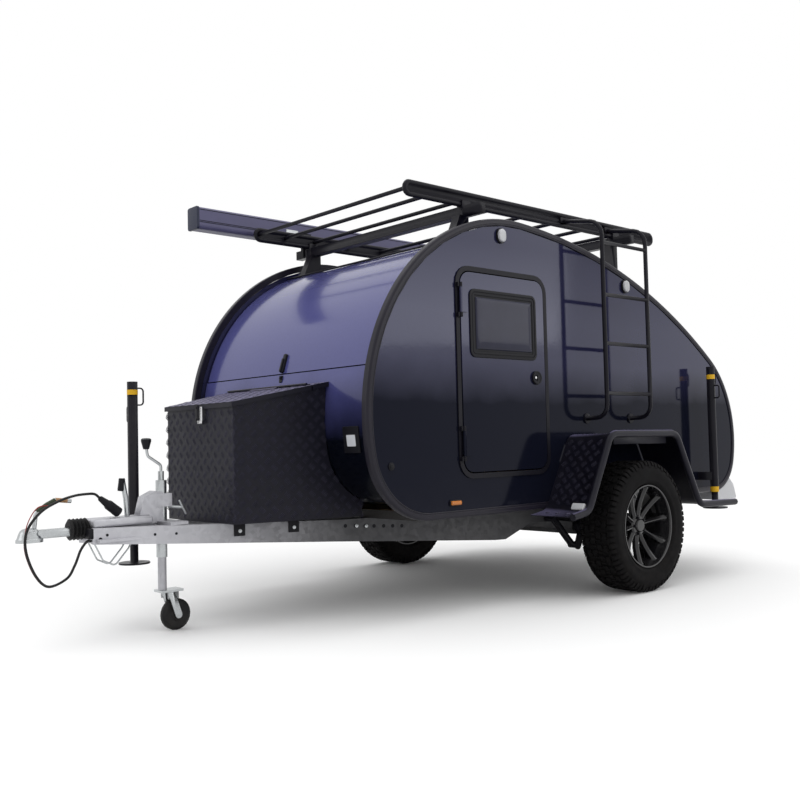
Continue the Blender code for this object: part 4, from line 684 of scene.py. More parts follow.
def lens(name, colour, see_through, rib_scale):
    """Moulded lamp plastic with fine optic ribs on its inner side."""
    made = Finish(name, colour, 0.12)
    ribs = made.node("ShaderNodeTexWave", Scale=rib_scale)
    ribs.bands_direction = "Z"
    made.link(made.place(), ribs.inputs["Vector"])
    made.drive("Base Color", made.mix(ribs.outputs["Fac"], tint(colour, 0.72), colour))
    made.adjust(Transmission_Weight=see_through, IOR=1.49)
    made.bump(ribs.outputs["Fac"], 0.0006)
    return made.material


FINISHES["tyre"] = tyre_rubber()
FINISHES["plywood"] = wood("plywood", (0.50, 0.36, 0.21), 0.52, 0.58, 0.0004)
FINISHES["floor_panel"] = wood("floor_panel", (0.42, 0.30, 0.18), 0.5, 0.60, 0.0003, filmed=True)
FINISHES["glass"] = dark_glass()
FINISHES["lamp_clear"] = lens("lamp_clear", (0.84, 0.85, 0.88), 0.15, 60.0)
FINISHES["lamp_amber"] = lens("lamp_amber", (0.85, 0.26, 0.03), 0.10, 120.0)
FINISHES["lamp_red"] = lens("lamp_red", (0.55, 0.02, 0.02), 0.10, 120.0)
print("finishes:", len(FINISHES))

# %% [markdown]
# ## Cords
# A trailer's lead carries its lamps' current: a stiff rubber cable that loops down from the drawbar and back
# up over the coupling, with its plug parked on the cover. Beside it runs the thin red breakaway cable. A cord
# is a curve through a few listed points, thickened by its bevel.

# %% Lead and breakaway cable
LEAD_RADIUS = 0.0055
LEAD_SPACING = 0.028
LEAD_ROUTE = ((2.6035, 0.050, 0.434), (2.622, 0.050, 0.433), (2.650, 0.051, 0.400), (2.676, 0.052, 0.340),
              (2.712, 0.054, 0.290), (2.790, 0.060, 0.268), (2.845, 0.066, 0.322), (2.882, 0.070, 0.420),
              (2.876, 0.070, 0.500), (2.820, 0.068, 0.570), (2.745, 0.060, 0.608), (2.675, 0.050, 0.626),
              (2.615, 0.036, 0.630))
PLUG_START = (2.553, 0.021, 0.610)
PLUG_END = (2.462, 0.012, 0.5405)
BREAKAWAY_RADIUS = 0.002
BREAKAWAY_SPACING = 0.012
BREAKAWAY_ROUTE = (
    (2.5997, 0.038, 0.434), (2.616, 0.038, 0.433), (2.646, 0.039, 0.400), (2.673, 0.040, 0.338),
    (2.712, 0.041, 0.288), (2.790, 0.047, 0.266), (2.845, 0.053, 0.320), (2.882, 0.057, 0.418),
    (2.876, 0.054, 0.500), (2.850, 0.045, 0.556), (2.815, 0.032, 0.588))
HANDLE_RADIUS = 0.009
HANDLE_SIDE = (2.770, HANDLE_RADIUS + 0.0006, 0.591)


def smooth_route(points):
    """Dense points on a smooth curve through a route's points, and their length."""
    knots = [Vector(p) for p in points]
    knots = [knots[0] * 2 - knots[1]] + knots + [knots[-1] * 2 - knots[-2]]
    dense = []
    for a, b, c, d in zip(knots, knots[1:], knots[2:], knots[3:]):
        for i in range(12):
            t = i / 12
            dense.append(0.5 * (2 * b + (c - a) * t + (2 * a - 5 * b + 4 * c - d) * t * t
                                + (3 * b - a - 3 * c + d) * t ** 3))
    dense.append(knots[-2])
    return dense, sum((q - p).length for p, q in zip(dense, dense[1:]))


def run_cord(name, route, radius, material, slot, node, **facts):
    """A cord as a curve object that stands for its node."""
    dense, length = smooth_route([spot(*p) for p in route])
    curve = bpy.data.curves.new(name, "CURVE")
    curve.dimensions = "3D"
    curve.bevel_depth = radius
    curve.bevel_resolution = 4
    curve.use_fill_caps = True
    spline = curve.splines.new("POLY")
    spline.points.add(len(dense) - 1)
    for point, place in zip(spline.points, dense):
        point.co = (*place, 1)
    spline.use_smooth = True
    curve.materials.append(material)
    piece = bpy.data.objects.new(name, curve)
    bpy.context.scene.collection.objects.link(piece)
    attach(piece, "trailer")
    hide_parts(node)
    print(name, "is", round(length, 3), "m long")
    return piece


def make_plug():
    """Multi-pin plug: a tapered boot, a ribbed barrel and a collar."""
    start, end = spot(*PLUG_START), spot(*PLUG_END)
    ahead = (end - start).normalized()
    length = (end - start).length
    shape = bmesh.new()
    rings = [(0.0003, 0.0085), (0.004, 0.0115), (0.044, 0.0165), (0.048, 0.0195), (0.052, 0.0205)]
    for i in range(5):
        rings += [(0.056 + 0.007 * i, 0.0215), (0.058 + 0.007 * i, 0.0195), (0.0615 + 0.007 * i, 0.0215)]
    rings += [(0.094, 0.0220), (length - 0.002, 0.0220), (length, 0.0195)]
    add_pipe(shape, [start + ahead * step for step, radius in rings], [radius for step, radius in rings], 24)
    return settle("lead_plug_body", shape, FINISHES["moulded_black"], "trailer",
                  replaces=("lead_plug",))


plug = make_plug()
ahead = (Vector(PLUG_END) - Vector(PLUG_START)).normalized()
lead_route = LEAD_ROUTE + (tuple(Vector(PLUG_START) - ahead * LEAD_SPACING), PLUG_START)
run_cord("lead", lead_route, LEAD_RADIUS, FINISHES["cable_black"], "cable_black", "lead_cable",
         far_end="plug", stiffness="stiff", lay="hanging", with_pieces=[plug])
safety_end = (HANDLE_SIDE[0], HANDLE_SIDE[1] + BREAKAWAY_SPACING, HANDLE_SIDE[2])
run_cord("breakaway_line", BREAKAWAY_ROUTE + (safety_end, HANDLE_SIDE), BREAKAWAY_RADIUS,
         FINISHES["cable_red"], "cable_red", "breakaway_cable",
         far_end="object", stiffness="medium", lay="hanging")

# %% [markdown]
# ## Finishes on the construction's own nodes
# Flat sheets, beams and boxes already have their final shape, so they only get a material. Tubes and turned
# pieces get a copy whose shading is smooth, which hides the flats of a coarse tube.

# %% Materials for the nodes
NODE_FINISHES = {
    "wall_paint": ("side_wall_left", "side_wall_right", "door_left", "door_right"),
    "skin_paint": ("nose_panel", "roof_skin", "tail_panel", "front_hatch", "rear_hatch"),
    "edge_trim": ("edge_trim_left", "edge_trim_right"),
    "awning_coat": ("awning_case",),
    "black_coat": ("door_frame_left", "door_frame_right", "roof_rack", "ladder", "shock_left",
                   "shock_right", "swing_arm_left", "swing_arm_right", "leg_tube_front", "leg_tube_rear_left",
                   "leg_tube_rear_right", "leg_inner_front", "leg_inner_rear_left", "leg_inner_rear_right"),
    "diamond_plate": ("toolbox_body", "toolbox_strip", "toolbox_lid", "fender_left", "fender_right"),
    "galvanised": ("chassis_frame", "axle_beam", "drawbar_cover", "jockey_clamp", "jockey_inner_tube"),
    "zinc_plate": ("coupling_head", "handbrake_lever", "jockey_tube", "jockey_fork"),
    "seal_rubber": ("coupling_bellows", "jockey_wheel"),
    "plywood": ("bulkhead",),
    "floor_panel": ("cabin_floor",),
    "glass": ("door_window_left", "door_window_right"),
    "lamp_clear": ("tail_lamp_left", "tail_lamp_right"),
    "tyre": ("tyre_left", "tyre_right"),
    "rim_black": ("rim_left", "rim_right"),
    "cable_black": ("lead_cable", "lead_plug"),
    "cable_red": ("breakaway_cable",),
}
BODY_OF = {node: body for body, nodes in frame["record"]["behaviour"]["bodies"].items() for node in nodes}
for finish_name, node_names in NODE_FINISHES.items():
    for node_name in node_names:
        NODES[node_name].data.materials.clear()
        NODES[node_name].data.materials.append(FINISHES[finish_name])

# %% Smooth copies
ROUND_NODES = ("roof_rack", "ladder", "shock_left", "shock_right", "swing_arm_left", "swing_arm_right",
               "leg_tube_front", "leg_tube_rear_left", "leg_tube_rear_right", "leg_inner_front",
               "leg_inner_rear_left", "leg_inner_rear_right", "jockey_tube", "jockey_inner_tube",
               "jockey_fork", "jockey_clamp", "handbrake_lever", "drawbar_cover",
               "fender_left", "fender_right")


def smooth_copy(node_name, angle=50):
    """The node's shape with its triangles merged and its round faces shaded smooth."""
    finish_name = next(key for key, names in NODE_FINISHES.items() if node_name in names)
    shape = bmesh.new()
    shape.from_mesh(NODES[node_name].data)
    bmesh.ops.remove_doubles(shape, verts=shape.verts, dist=0.00002)
    bmesh.ops.dissolve_limit(shape, angle_limit=math.radians(0.5), verts=shape.verts, edges=shape.edges)
    return settle(node_name + "_smooth", shape, FINISHES[finish_name], BODY_OF[node_name],
                  angle, (node_name,))


for node_name in ROUND_NODES:
    smooth_copy(node_name)
print("smooth copies:", len(ROUND_NODES))

# %% [markdown]
# ## The curved skin
# The outline is five arcs that join without a kink, each given by its radius and by how far it turns. Walking
# round it with a small step gives fine skins, hatches and edge trims from the same few numbers.

# %% Teardrop outline
SILL_START_X = 1.311
SILL_Z = 0.455
TEARDROP_RADII = (0.361, 0.986, 3.493, 0.603, 0.251)
TEARDROP_TURNS_DEG = (79.7, 103.9, 31.4, 69.2, 75.8)
SKIN_INSET = 0.062
SKIN_THICKNESS = 0.028
SKIN_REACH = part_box("roof_skin")[1].y
HATCH_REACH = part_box("front_hatch")[1].y - 0.003
TRIM_WIDTH = 0.036


def teardrop(inset, start_deg=0.0, end_deg=360.0, step_deg=2.0):
    """Points (x, z) on the outline moved inwards, between two headings along it."""
    points = []
    x, z, heading = SILL_START_X + AXLE_X, SILL_Z, 0.0
    for radius, sweep in zip(TEARDROP_RADII, TEARDROP_TURNS_DEG):
        turn = math.radians(heading)
        centre = (x - radius * math.sin(turn), z + radius * math.cos(turn))
        low, high = max(heading, start_deg), min(heading + sweep, end_deg)
        if high > low:
            steps = max(1, round((high - low) * max(1.0, radius ** 0.5) / step_deg))
            points += arc(centre, radius - inset, low - 90, high - 90, steps)[1 if points else 0:]
        heading += sweep
        turn = math.radians(heading)
        x, z = centre[0] + radius * math.sin(turn), centre[1] - radius * math.cos(turn)
    return points


def outline_point(inset, heading):
    return teardrop(inset, heading, heading + 0.01)[0]


def outline_normal(heading):
    turn = math.radians(heading)
    return Vector((math.sin(turn), 0, -math.cos(turn)))


# %% Skins and hatches
SKIN_TABLE = (  # piece, node, start and end heading, half width, body
    ("nose_skin", "nose_panel", 12.0, 104.62, SKIN_REACH, "trailer"),
    ("front_lid", "front_hatch", 104.98, 157.62, HATCH_REACH, "front_hatch"),
    ("roof_sheet", "roof_skin", 157.98, 208.15, SKIN_REACH, "trailer"),
    ("rear_lid", "rear_hatch", 208.25, 292.0, HATCH_REACH, "rear_hatch"),
    ("tail_skin", "tail_panel", 293.2, 350.0, SKIN_REACH, "trailer"),
)
LONG_HINGE_RADIUS = 0.0055
LONG_HINGE_LIFT = 0.0015
LONG_HINGES = ((157.8, "front_hatch"), (208.2, "rear_hatch"))  # heading of the seam, lid
KNUCKLES = 27
KNUCKLE_GAP = 0.0006
HINGE_END = 0.010


def make_skins():
    for name, node, start, end, reach, body in SKIN_TABLE:
        shape = bmesh.new()
        outer = teardrop(SKIN_INSET, start, end)
        inner = teardrop(SKIN_INSET + SKIN_THICKNESS, start, end)
        rows = []
        for y, pull in ((-reach, 0.003), (-reach + 0.003, 0.0), (reach - 0.003, 0.0), (reach, 0.003)):
            rim = teardrop(SKIN_INSET + pull, start, end)
            rows.append([shape.verts.new((x, y, z)) for x, z in rim + inner[::-1]])
        join_rings(shape, rows, caps=False)
        count = len(outer) + len(inner)
        for row in (rows[0][::-1], rows[-1]):
            for i in range(len(outer) - 1):
                shape.faces.new((row[i], row[i + 1], row[count - 2 - i], row[count - 1 - i]))
        settle(name, shape, FINISHES["skin_paint"], body, 30, (node,))


def make_long_hinges():
    """Piano hinges over the two hatch seams: a barrel in knuckles that belong in turn to the trailer and to
    the lid.
    """
    for heading, lid in LONG_HINGES:
        normal = outline_normal(heading)
        x, z = outline_point(SKIN_INSET, heading)
        centre = Vector((x, 0, z)) + normal * (LONG_HINGE_RADIUS + LONG_HINGE_LIFT)
        span = 2 * (HATCH_REACH - HINGE_END) / KNUCKLES
        parts = {"trailer": bmesh.new(), lid: bmesh.new()}
        for i in range(KNUCKLES):
            low = -HATCH_REACH + HINGE_END + i * span
            body = "trailer" if i % 2 == 0 else lid
            ends = [centre + Vector((0, y, 0)) for y in (low + KNUCKLE_GAP, low + span - KNUCKLE_GAP)]
            add_rod(parts[body], *ends, LONG_HINGE_RADIUS, 12)
        for body, shape in parts.items():
            settle("hinge_knuckles_" + lid + ("_fixed" if body == "trailer" else "_moving"), shape,
                   FINISHES["black_coat"], body)


make_skins()
make_long_hinges()

# %% Edge trims
TRIM_PROUD = 0.006
TRIM_ROUNDING = 0.012
TRIM_LIP = ((0.012, 0.0), (0.009, 0.0025), (0.006, 0.0025), (0.004, 0.0005), (0.001, 0.0015), (0.0, 0.005))
TRIM_INNER_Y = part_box("edge_trim_left")[0].y


def make_edge_trims():
    """A rounded extrusion bent round the wall's edge: its section is swept along the outline."""
    top, low = BODY_HALF_WIDTH + TRIM_PROUD, TRIM_INNER_Y + 0.002
    section = [(TRIM_WIDTH, low + 0.002), (0.004, low), (0.0, low + 0.004)]
    section += [(TRIM_ROUNDING - TRIM_ROUNDING * math.cos(math.radians(a)),
                 top - TRIM_ROUNDING + TRIM_ROUNDING * math.sin(math.radians(a))) for a in range(0, 91, 15)]
    section += [(TRIM_WIDTH - back, top - drop) for back, drop in TRIM_LIP]
    shape = bmesh.new()
    join_rings(shape, [[shape.verts.new((x, y, z)) for x, z in teardrop(inset)[:-1]] for inset, y in section],
               closed=True)
    both_sides("edge_moulding", shape, FINISHES["edge_trim"], ("trailer", "trailer"), 35,
               (("edge_trim_left",), ("edge_trim_right",)))


make_edge_trims()

# %% [markdown]
# ## Trees for what repeats
# Tyre lugs, spokes and the bars of a tread plate repeat many times. A geometry tree makes the copies: one
# tree sets copies round an axle, the other covers a flat panel with five-bar groups and keeps those that a
# ray finds above the panel. The trees run once and leave plain meshes.

# %% Geometry trees
SOCKET_KINDS = {int: "NodeSocketInt", float: "NodeSocketFloat", tuple: "NodeSocketVector"}
TREAD_STEP = 0.031
BAR_SPACING = 0.0066
BAR_HALF_WIDTH = 0.0019
BAR_HEIGHT = 0.0013


def new_tree(name, **inputs):
    """A geometry tree with named inputs; a default of None stands for a material."""
    tree = bpy.data.node_groups.new(name, "GeometryNodeTree")
    tree.interface.new_socket("Geometry", in_out="INPUT", socket_type="NodeSocketGeometry")
    for label, value in inputs.items():
        kind = "NodeSocketMaterial" if value is None else SOCKET_KINDS[type(value)]
        socket = tree.interface.new_socket(label, in_out="INPUT", socket_type=kind)
        if value is not None:
            socket.default_value = value
    tree.interface.new_socket("Geometry", in_out="OUTPUT", socket_type="NodeSocketGeometry")
    return tree, tree.nodes.new("NodeGroupInput"), tree.nodes.new("NodeGroupOutput")


def chain(tree, source, *kinds):
    """Nodes in a row, each fed by the one before; returns them."""
    made = []
    for kind in kinds:
        made.append(tree.nodes.new(kind))
        wire(tree, source, made[-1].inputs[0])
        source = made[-1].outputs[0]
    return made


def grow(tree, shape, **values):
    """Run a tree on a bmesh and return the bmesh that comes out."""
    seed = bpy.data.meshes.new("seed")
    shape.to_mesh(seed)
    shape.free()
    holder = bpy.data.objects.new("holder", seed)
    bpy.context.scene.collection.objects.link(holder)
    step = holder.modifiers.new("grow", "NODES")
    step.node_group = tree
    for item in tree.interface.items_tree:
        if item.in_out == "INPUT" and item.name in values:
            step[item.identifier] = values[item.name]
    bpy.context.view_layer.update()
    evaluated = holder.evaluated_get(bpy.context.evaluated_depsgraph_get())
    mesh = bpy.data.meshes.new_from_object(evaluated)
    holder.modifiers.remove(step)
    bpy.data.objects.remove(holder)
    grown = bmesh.new()
    grown.from_mesh(mesh)
    return grown


def make_around_tree():
    """Copies of one piece at equal angles about an axle through Centre that runs along Y."""
    tree, start, end = new_tree("around an axle", Count=10, Centre=(0.0, 0.0, 0.0), Material=None)
    line = put(tree, "GeometryNodeMeshLine", Offset=(0, 0, 0))
    turned = reckon(tree, "MULTIPLY", put(tree, "GeometryNodeInputIndex").outputs[0], 2 * math.pi)
    angle = reckon(tree, "DIVIDE", turned, start.outputs["Count"])
    turn = tree.nodes.new("ShaderNodeCombineXYZ")
    wire(tree, angle, turn.inputs["Y"])
    wire(tree, start.outputs["Count"], line.inputs["Count"])
    copies, real, place, paint = chain(tree, line.outputs["Mesh"], "GeometryNodeInstanceOnPoints",
                                       "GeometryNodeRealizeInstances", "GeometryNodeTransform",
                                       "GeometryNodeSetMaterial")
    wire(tree, start.outputs["Geometry"], copies.inputs["Instance"])
    wire(tree, turn.outputs[0], copies.inputs["Rotation"])
    wire(tree, start.outputs["Centre"], place.inputs["Translation"])
    wire(tree, start.outputs["Material"], paint.inputs["Material"])
    wire(tree, paint.outputs[0], end.inputs[0])
    return tree


def make_five_bar_tree():
    """Groups of five raised bars on a flat panel at z = 0, turned by a quarter from one to the next."""
    tree, start, end = new_tree("five-bar plate", Width=1.0, Height=1.0, Step=TREAD_STEP, Length=0.0155,
                                Material=None)
    step = start.outputs["Step"]
    grid = tree.nodes.new("GeometryNodeMeshGrid")
    place = tree.nodes.new("GeometryNodeInputPosition")
    split = tree.nodes.new("ShaderNodeSeparateXYZ")
    wire(tree, place.outputs[0], split.inputs[0])
    counts = []
    for axis, span in (("X", "Width"), ("Y", "Height")):
        cells = reckon(tree, "ROUND", reckon(tree, "DIVIDE", start.outputs[span], step))
        wire(tree, reckon(tree, "MULTIPLY", cells, step), grid.inputs["Size " + axis])
        wire(tree, reckon(tree, "ADD", cells, 1), grid.inputs["Vertices " + axis])
        along = reckon(tree, "DIVIDE", split.outputs[axis], step)
        counts.append(reckon(tree, "ROUND", reckon(tree, "ADD", along, reckon(tree, "DIVIDE", cells, 2))))
    odd = reckon(tree, "MODULO", reckon(tree, "ADD", counts[0], counts[1]), 2)
    above = tree.nodes.new("ShaderNodeVectorMath")
    above.inputs[1].default_value = (0, 0, 0.01)
    wire(tree, place.outputs[0], above.inputs[0])
    ray = put(tree, "GeometryNodeRaycast", Ray_Direction=(0, 0, -1), Ray_Length=0.02)
    wire(tree, start.outputs["Geometry"], ray.inputs["Target Geometry"])
    wire(tree, above.outputs[0], ray.inputs["Source Position"])
    missed = reckon(tree, "SUBTRACT", 1, ray.outputs["Is Hit"])
    drop, copies, real, paint = chain(tree, grid.outputs["Mesh"], "GeometryNodeDeleteGeometry",
                                      "GeometryNodeInstanceOnPoints", "GeometryNodeRealizeInstances",
                                      "GeometryNodeSetMaterial")
    wire(tree, reckon(tree, "GREATER_THAN", reckon(tree, "ADD", missed, odd), 0.5), drop.inputs["Selection"])
    turn = tree.nodes.new("ShaderNodeCombineXYZ")
    quarter = reckon(tree, "MULTIPLY", reckon(tree, "MODULO", counts[0], 2), math.pi / 2)
    wire(tree, reckon(tree, "ADD", quarter, math.pi / 4), turn.inputs["Z"])
    row = put(tree, "GeometryNodeMeshLine", Count=5, Start_Location=(0, -2 * BAR_SPACING, 0),
              Offset=(0, BAR_SPACING, 0))
    bead = tree.nodes.new("GeometryNodeMeshIcoSphere")
    flatten, = chain(tree, bead.outputs["Mesh"], "GeometryNodeTransform")
    size = put(tree, "ShaderNodeCombineXYZ", Y=BAR_HALF_WIDTH, Z=BAR_HEIGHT)
    wire(tree, start.outputs["Length"], size.inputs["X"])
    wire(tree, size.outputs[0], flatten.inputs["Scale"])
    bars, = chain(tree, row.outputs["Mesh"], "GeometryNodeInstanceOnPoints")
    wire(tree, flatten.outputs[0], bars.inputs["Instance"])
    wire(tree, bars.outputs[0], copies.inputs["Instance"])
    wire(tree, turn.outputs[0], copies.inputs["Rotation"])
    wire(tree, start.outputs["Material"], paint.inputs["Material"])
    wire(tree, paint.outputs[0], end.inputs[0])
    return tree


AROUND = make_around_tree()
FIVE_BAR = make_five_bar_tree()
print("geometry trees:", AROUND.name, "and", FIVE_BAR.name)

# %% [markdown]
# ## Wheels
# The tyre is a turned carcass with an all-terrain tread: staggered blocks in the middle, long lugs that run
# over the shoulder. The rim is a turned barrel and hub with ten spokes, black and glossy, so that each
# spoke's ridge carries one bright line.

# %% Tyres
TYRE_LOW, TYRE_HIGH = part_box("tyre_left")[0].y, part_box("tyre_left")[1].y
TYRE_MIDDLE = (TYRE_LOW + TYRE_HIGH) / 2
WHEEL_CENTRE = (AXLE_X, 0.0, WHEEL_RADIUS)
TREAD_PITCHES = 34
CARCASS_HALF = ((0.2165, 0.024), (0.226, 0.010), (0.236, 0.0055), (0.243, 0.0035), (0.246, 0.0042),
                (0.262, 0.0012), (0.285, 0.0), (0.300, 0.0022), (0.303, 0.0040), (0.312, 0.0062),
                (0.3235, 0.0170), (0.3300, 0.0340), (0.3318, 0.0600))
CENTRE_BLOCKS = (  # (round the tread, across it) in millimetres, from the pitch's middle
    ((-25, 3), (-9, 2), (-4, 8), (6, 6), (10, 27), (-6, 36), (-13, 27), (-22, 30)),
    ((14, 5), (25, 3), (27, 24), (18, 30)),
    ((-20, 40), (-4, 44), (4, 36), (16, 40), (18, 61), (4, 68), (-4, 62), (-16, 66)),
)
SHOULDER_LUG = ((0.0320, 0.3426), (0.0180, 0.3395), (0.0100, 0.3310), (0.0050, 0.3190), (0.0030, 0.3070))


def around_point(radius, along_mm, y):
    angle = along_mm / 1000 / WHEEL_RADIUS
    return Vector((radius * math.sin(angle), y, radius * math.cos(angle)))


def add_tread_pitch(shape):
    """One pitch of tread at the top of the wheel, about an axle at the origin."""
    for sign in (1, -1):
        shift = 0 if sign > 0 else 30
        for block in CENTRE_BLOCKS:
            middle = [sum(p[i] for p in block) / len(block) for i in (0, 1)]
            rings = []
            for radius, scale in ((0.329, 1.06), (0.3408, 1.0), (0.3424, 0.93)):
                rings.append([shape.verts.new(around_point(
                    radius, shift + middle[0] + (a - middle[0]) * scale,
                    TYRE_MIDDLE + sign * (middle[1] + (b - middle[1]) * scale) / 1000)) for a, b in block])
            join_rings(shape, rings)
        edge = TYRE_HIGH if sign > 0 else TYRE_LOW
        for start, stop, length in ((-27, -2, 5), (4, 26, 4)):
            rows = []
            for inset, radius in SHOULDER_LUG[:length]:
                row = []
                for along, drop in ((start, 0.011), (start + 1.5, 0.0), (stop - 1.5, 0.0), (stop, 0.011)):
                    sunk = Vector((0, -sign * drop * (0.2 if inset > 0.015 else 0.9), 0))
                    low = radius - drop * (1.0 if inset > 0.015 else 0.3)
                    row.append(shape.verts.new(around_point(low, shift + along, edge - sign * inset) + sunk))
                rows.append(row)
            join_rings(shape, rows)


def make_tyres():
    shape = bmesh.new()
    add_tread_pitch(shape)
    tread = grow(AROUND, shape, Count=TREAD_PITCHES, Centre=WHEEL_CENTRE, Material=FINISHES["tyre"])
    profile = [(r, TYRE_LOW + inset) for r, inset in CARCASS_HALF]
    profile += [(r, TYRE_HIGH - inset) for r, inset in reversed(CARCASS_HALF)]
    add_lathe(tread, profile, "Y", WHEEL_CENTRE, 120)
    both_sides("tyre", tread, FINISHES["tyre"], ("wheel_left", "wheel_right"), 32,
               (("tyre_left",), ("tyre_right",)))


make_tyres()

# %% Rims
BARREL_PROFILE = (
    (0.2150, -0.0130), (0.2085, -0.0135), (0.2045, -0.0210), (0.2030, -0.0340), (0.1930, -0.0580),
    (0.1860, -0.0900), (0.1840, -0.1550), (0.1960, -0.1810), (0.2100, -0.1985), (0.2160, -0.1990),
    (0.2160, -0.1910), (0.2000, -0.1750), (0.1890, -0.1530), (0.1905, -0.0880), (0.1985, -0.0560),
    (0.2085, -0.0340), (0.2160, -0.0220))
HUB_PROFILE = ((0.0208, -0.299), (0.100, -0.299), (0.100, -0.246), (0.094, -0.241), (0.070, -0.235),
               (0.060, -0.111), (0.058, -0.083), (0.050, -0.0755), (0.036, -0.074), (0.034, -0.067),
               (0.030, -0.063), (0.0, -0.062), (0.0, -0.161), (0.0208, -0.163))
SPOKE_PHASE = math.radians(-8)
SPOKE_STATIONS = (  # radius, ridge, half width
    (0.040, -0.075, 0.013), (0.075, -0.074, 0.0125), (0.120, -0.067, 0.0130),
    (0.165, -0.053, 0.0145), (0.192, -0.041, 0.0165), (0.2035, -0.034, 0.020))
SPOKES = 10
NUTS = 5
NUT_CIRCLE = 0.043
NUT_FACE = -0.070
NUT_STEPS = ((-0.010, 0.0, 0.0090, 0.0085, 16), (0.0, 0.007, 0.0078, 0.0066, 6))
VALVE_POINTS = ((-0.10, -0.050, 0.168), (-0.098, -0.036, 0.163), (-0.096, -0.022, 0.158))
VALVE_RADII = (0.0045, 0.0040, 0.0032)


def add_spoke(shape):
    """One spoke about an axle at the origin: a roof-shaped bar that widens into the rim."""
    out = Vector((math.cos(SPOKE_PHASE), 0, math.sin(SPOKE_PHASE)))
    side = Vector((-math.sin(SPOKE_PHASE), 0, math.cos(SPOKE_PHASE)))
    rows = []
    for radius, ridge, half in SPOKE_STATIONS:
        section = ((-half, -0.032), (-half, -0.012), (-half * 0.2, -0.0006), (half * 0.2, -0.0006),
                   (half, -0.012), (half, -0.032))
        rows.append([shape.verts.new(out * radius + side * across + Vector((0, TYRE_HIGH + ridge + level, 0)))
                     for across, level in section])
    join_rings(shape, rows)


def make_rims():
    shape = bmesh.new()
    add_spoke(shape)
    rim = grow(AROUND, shape, Count=SPOKES, Centre=WHEEL_CENTRE, Material=FINISHES["rim_black"])
    add_lathe(rim, [(r, TYRE_HIGH + y) for r, y in BARREL_PROFILE], "Y", WHEEL_CENTRE, 120)
    add_lathe(rim, [(r, TYRE_HIGH + y) for r, y in HUB_PROFILE], "Y", WHEEL_CENTRE, 64)
    both_sides("rim", rim, FINISHES["rim_black"], ("wheel_left", "wheel_right"), 32,
               (("rim_left",), ("rim_right",)))
    nut = bmesh.new()
    face = TYRE_HIGH + NUT_FACE
    for low, high, radius, end, sides in NUT_STEPS:
        add_rod(nut, (NUT_CIRCLE, face + low, 0), (NUT_CIRCLE, face + high, 0), radius, sides, end)
    nuts = grow(AROUND, nut, Count=NUTS, Centre=WHEEL_CENTRE, Material=FINISHES["rim_black"])
    add_pipe(nuts, [Vector(WHEEL_CENTRE) + Vector((x, TYRE_HIGH + y, z)) for x, y, z in VALVE_POINTS],
             VALVE_RADII, 10)
    both_sides("wheel_nuts", nuts, FINISHES["moulded_black"], ("wheel_left", "wheel_right"), 30)


make_rims()
print("wheels with", TREAD_PITCHES, "tread pitches and", SPOKES, "spokes")

# %% [markdown]
# ## Tread plate
# Toolbox and fenders are chequer plate: groups of five short bars, each group turned by a quarter against its
# neighbours. The flat faces of the construction say where bars may stand, a little in from every fold.

# %% Five-bar tread
TREAD_BORDER = 0.016


def flat_panels(node, wanted):
    """The large flat faces of a node, as lists of corners with their normal."""
    shape = bmesh.new()
    shape.from_mesh(NODES[node].data)
    bmesh.ops.remove_doubles(shape, verts=shape.verts, dist=0.00002)
    bmesh.ops.dissolve_limit(shape, angle_limit=math.radians(0.5), verts=shape.verts, edges=shape.edges)
    middle = sum(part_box(node), Vector()) / 2
    panels = [([corner.co.copy() for corner in face.verts], face.normal.copy()) for face in shape.faces
              if face.calc_area() > 0.010 and wanted(face.calc_center_median() - middle, face.normal)]
    shape.free()
    return panels


def add_bars(whole, corners, normal, material):
    """Five-bar groups over one flat panel, made in the panel's own plane and turned into place."""
    side = Vector((0, 0, 1)).cross(normal)
    side = side.normalized() if side.length > 0.1 else Vector((0, 1, 0))
    plane = Matrix((side, normal.cross(side), normal)).transposed().to_4x4()
    plane.translation = corners[0]
    flat = [plane.inverted() @ corner for corner in corners]
    low = [min(p[i] for p in flat) for i in (0, 1)]
    high = [max(p[i] for p in flat) for i in (0, 1)]
    middle = Vector(((low[0] + high[0]) / 2, (low[1] + high[1]) / 2, 0))
    patch = bmesh.new()
    face = patch.faces.new([patch.verts.new((p.x - middle.x, p.y - middle.y, 0)) for p in flat])
    rim = bmesh.ops.inset_region(patch, faces=[face], thickness=TREAD_BORDER, use_boundary=True)["faces"]
    bmesh.ops.delete(patch, geom=rim, context="FACES")
    bars = grow(FIVE_BAR, patch, Width=high[0] - low[0], Height=high[1] - low[1], Step=TREAD_STEP,
                Material=material)
    bars.transform(plane @ Matrix.Translation(middle))
    mesh = bpy.data.meshes.new("bars")
    bars.to_mesh(mesh)
    bars.free()
    whole.from_mesh(mesh)


def outward(offset, normal):
    return offset.dot(normal) > 0 and normal.z > -0.5


def on_top(_, normal):
    return normal.z > 0.2


for node_name, wanted in (("toolbox_body", outward), ("toolbox_lid", outward), ("toolbox_strip", on_top),
                          ("fender_left", on_top), ("fender_right", on_top)):
    whole = bmesh.new()
    panels = flat_panels(node_name, wanted)
    for corners, normal in panels:
        add_bars(whole, corners, normal, FINISHES["diamond_bars"])
    print(node_name, "has", len(panels), "panels and", len(whole.faces), "faces of tread")
    if whole.faces:
        settle(node_name + "_tread", whole, FINISHES["diamond_bars"], BODY_OF[node_name], 60)

# %% [markdown]
# ## Fittings
# Windows, lamps, markers, latches and labels are flat things with rounded corners that stand a little proud
# of a surface. One tool makes them all: a rounded rectangle in a plane that faces some way, raised in steps.

# %% Raised plates


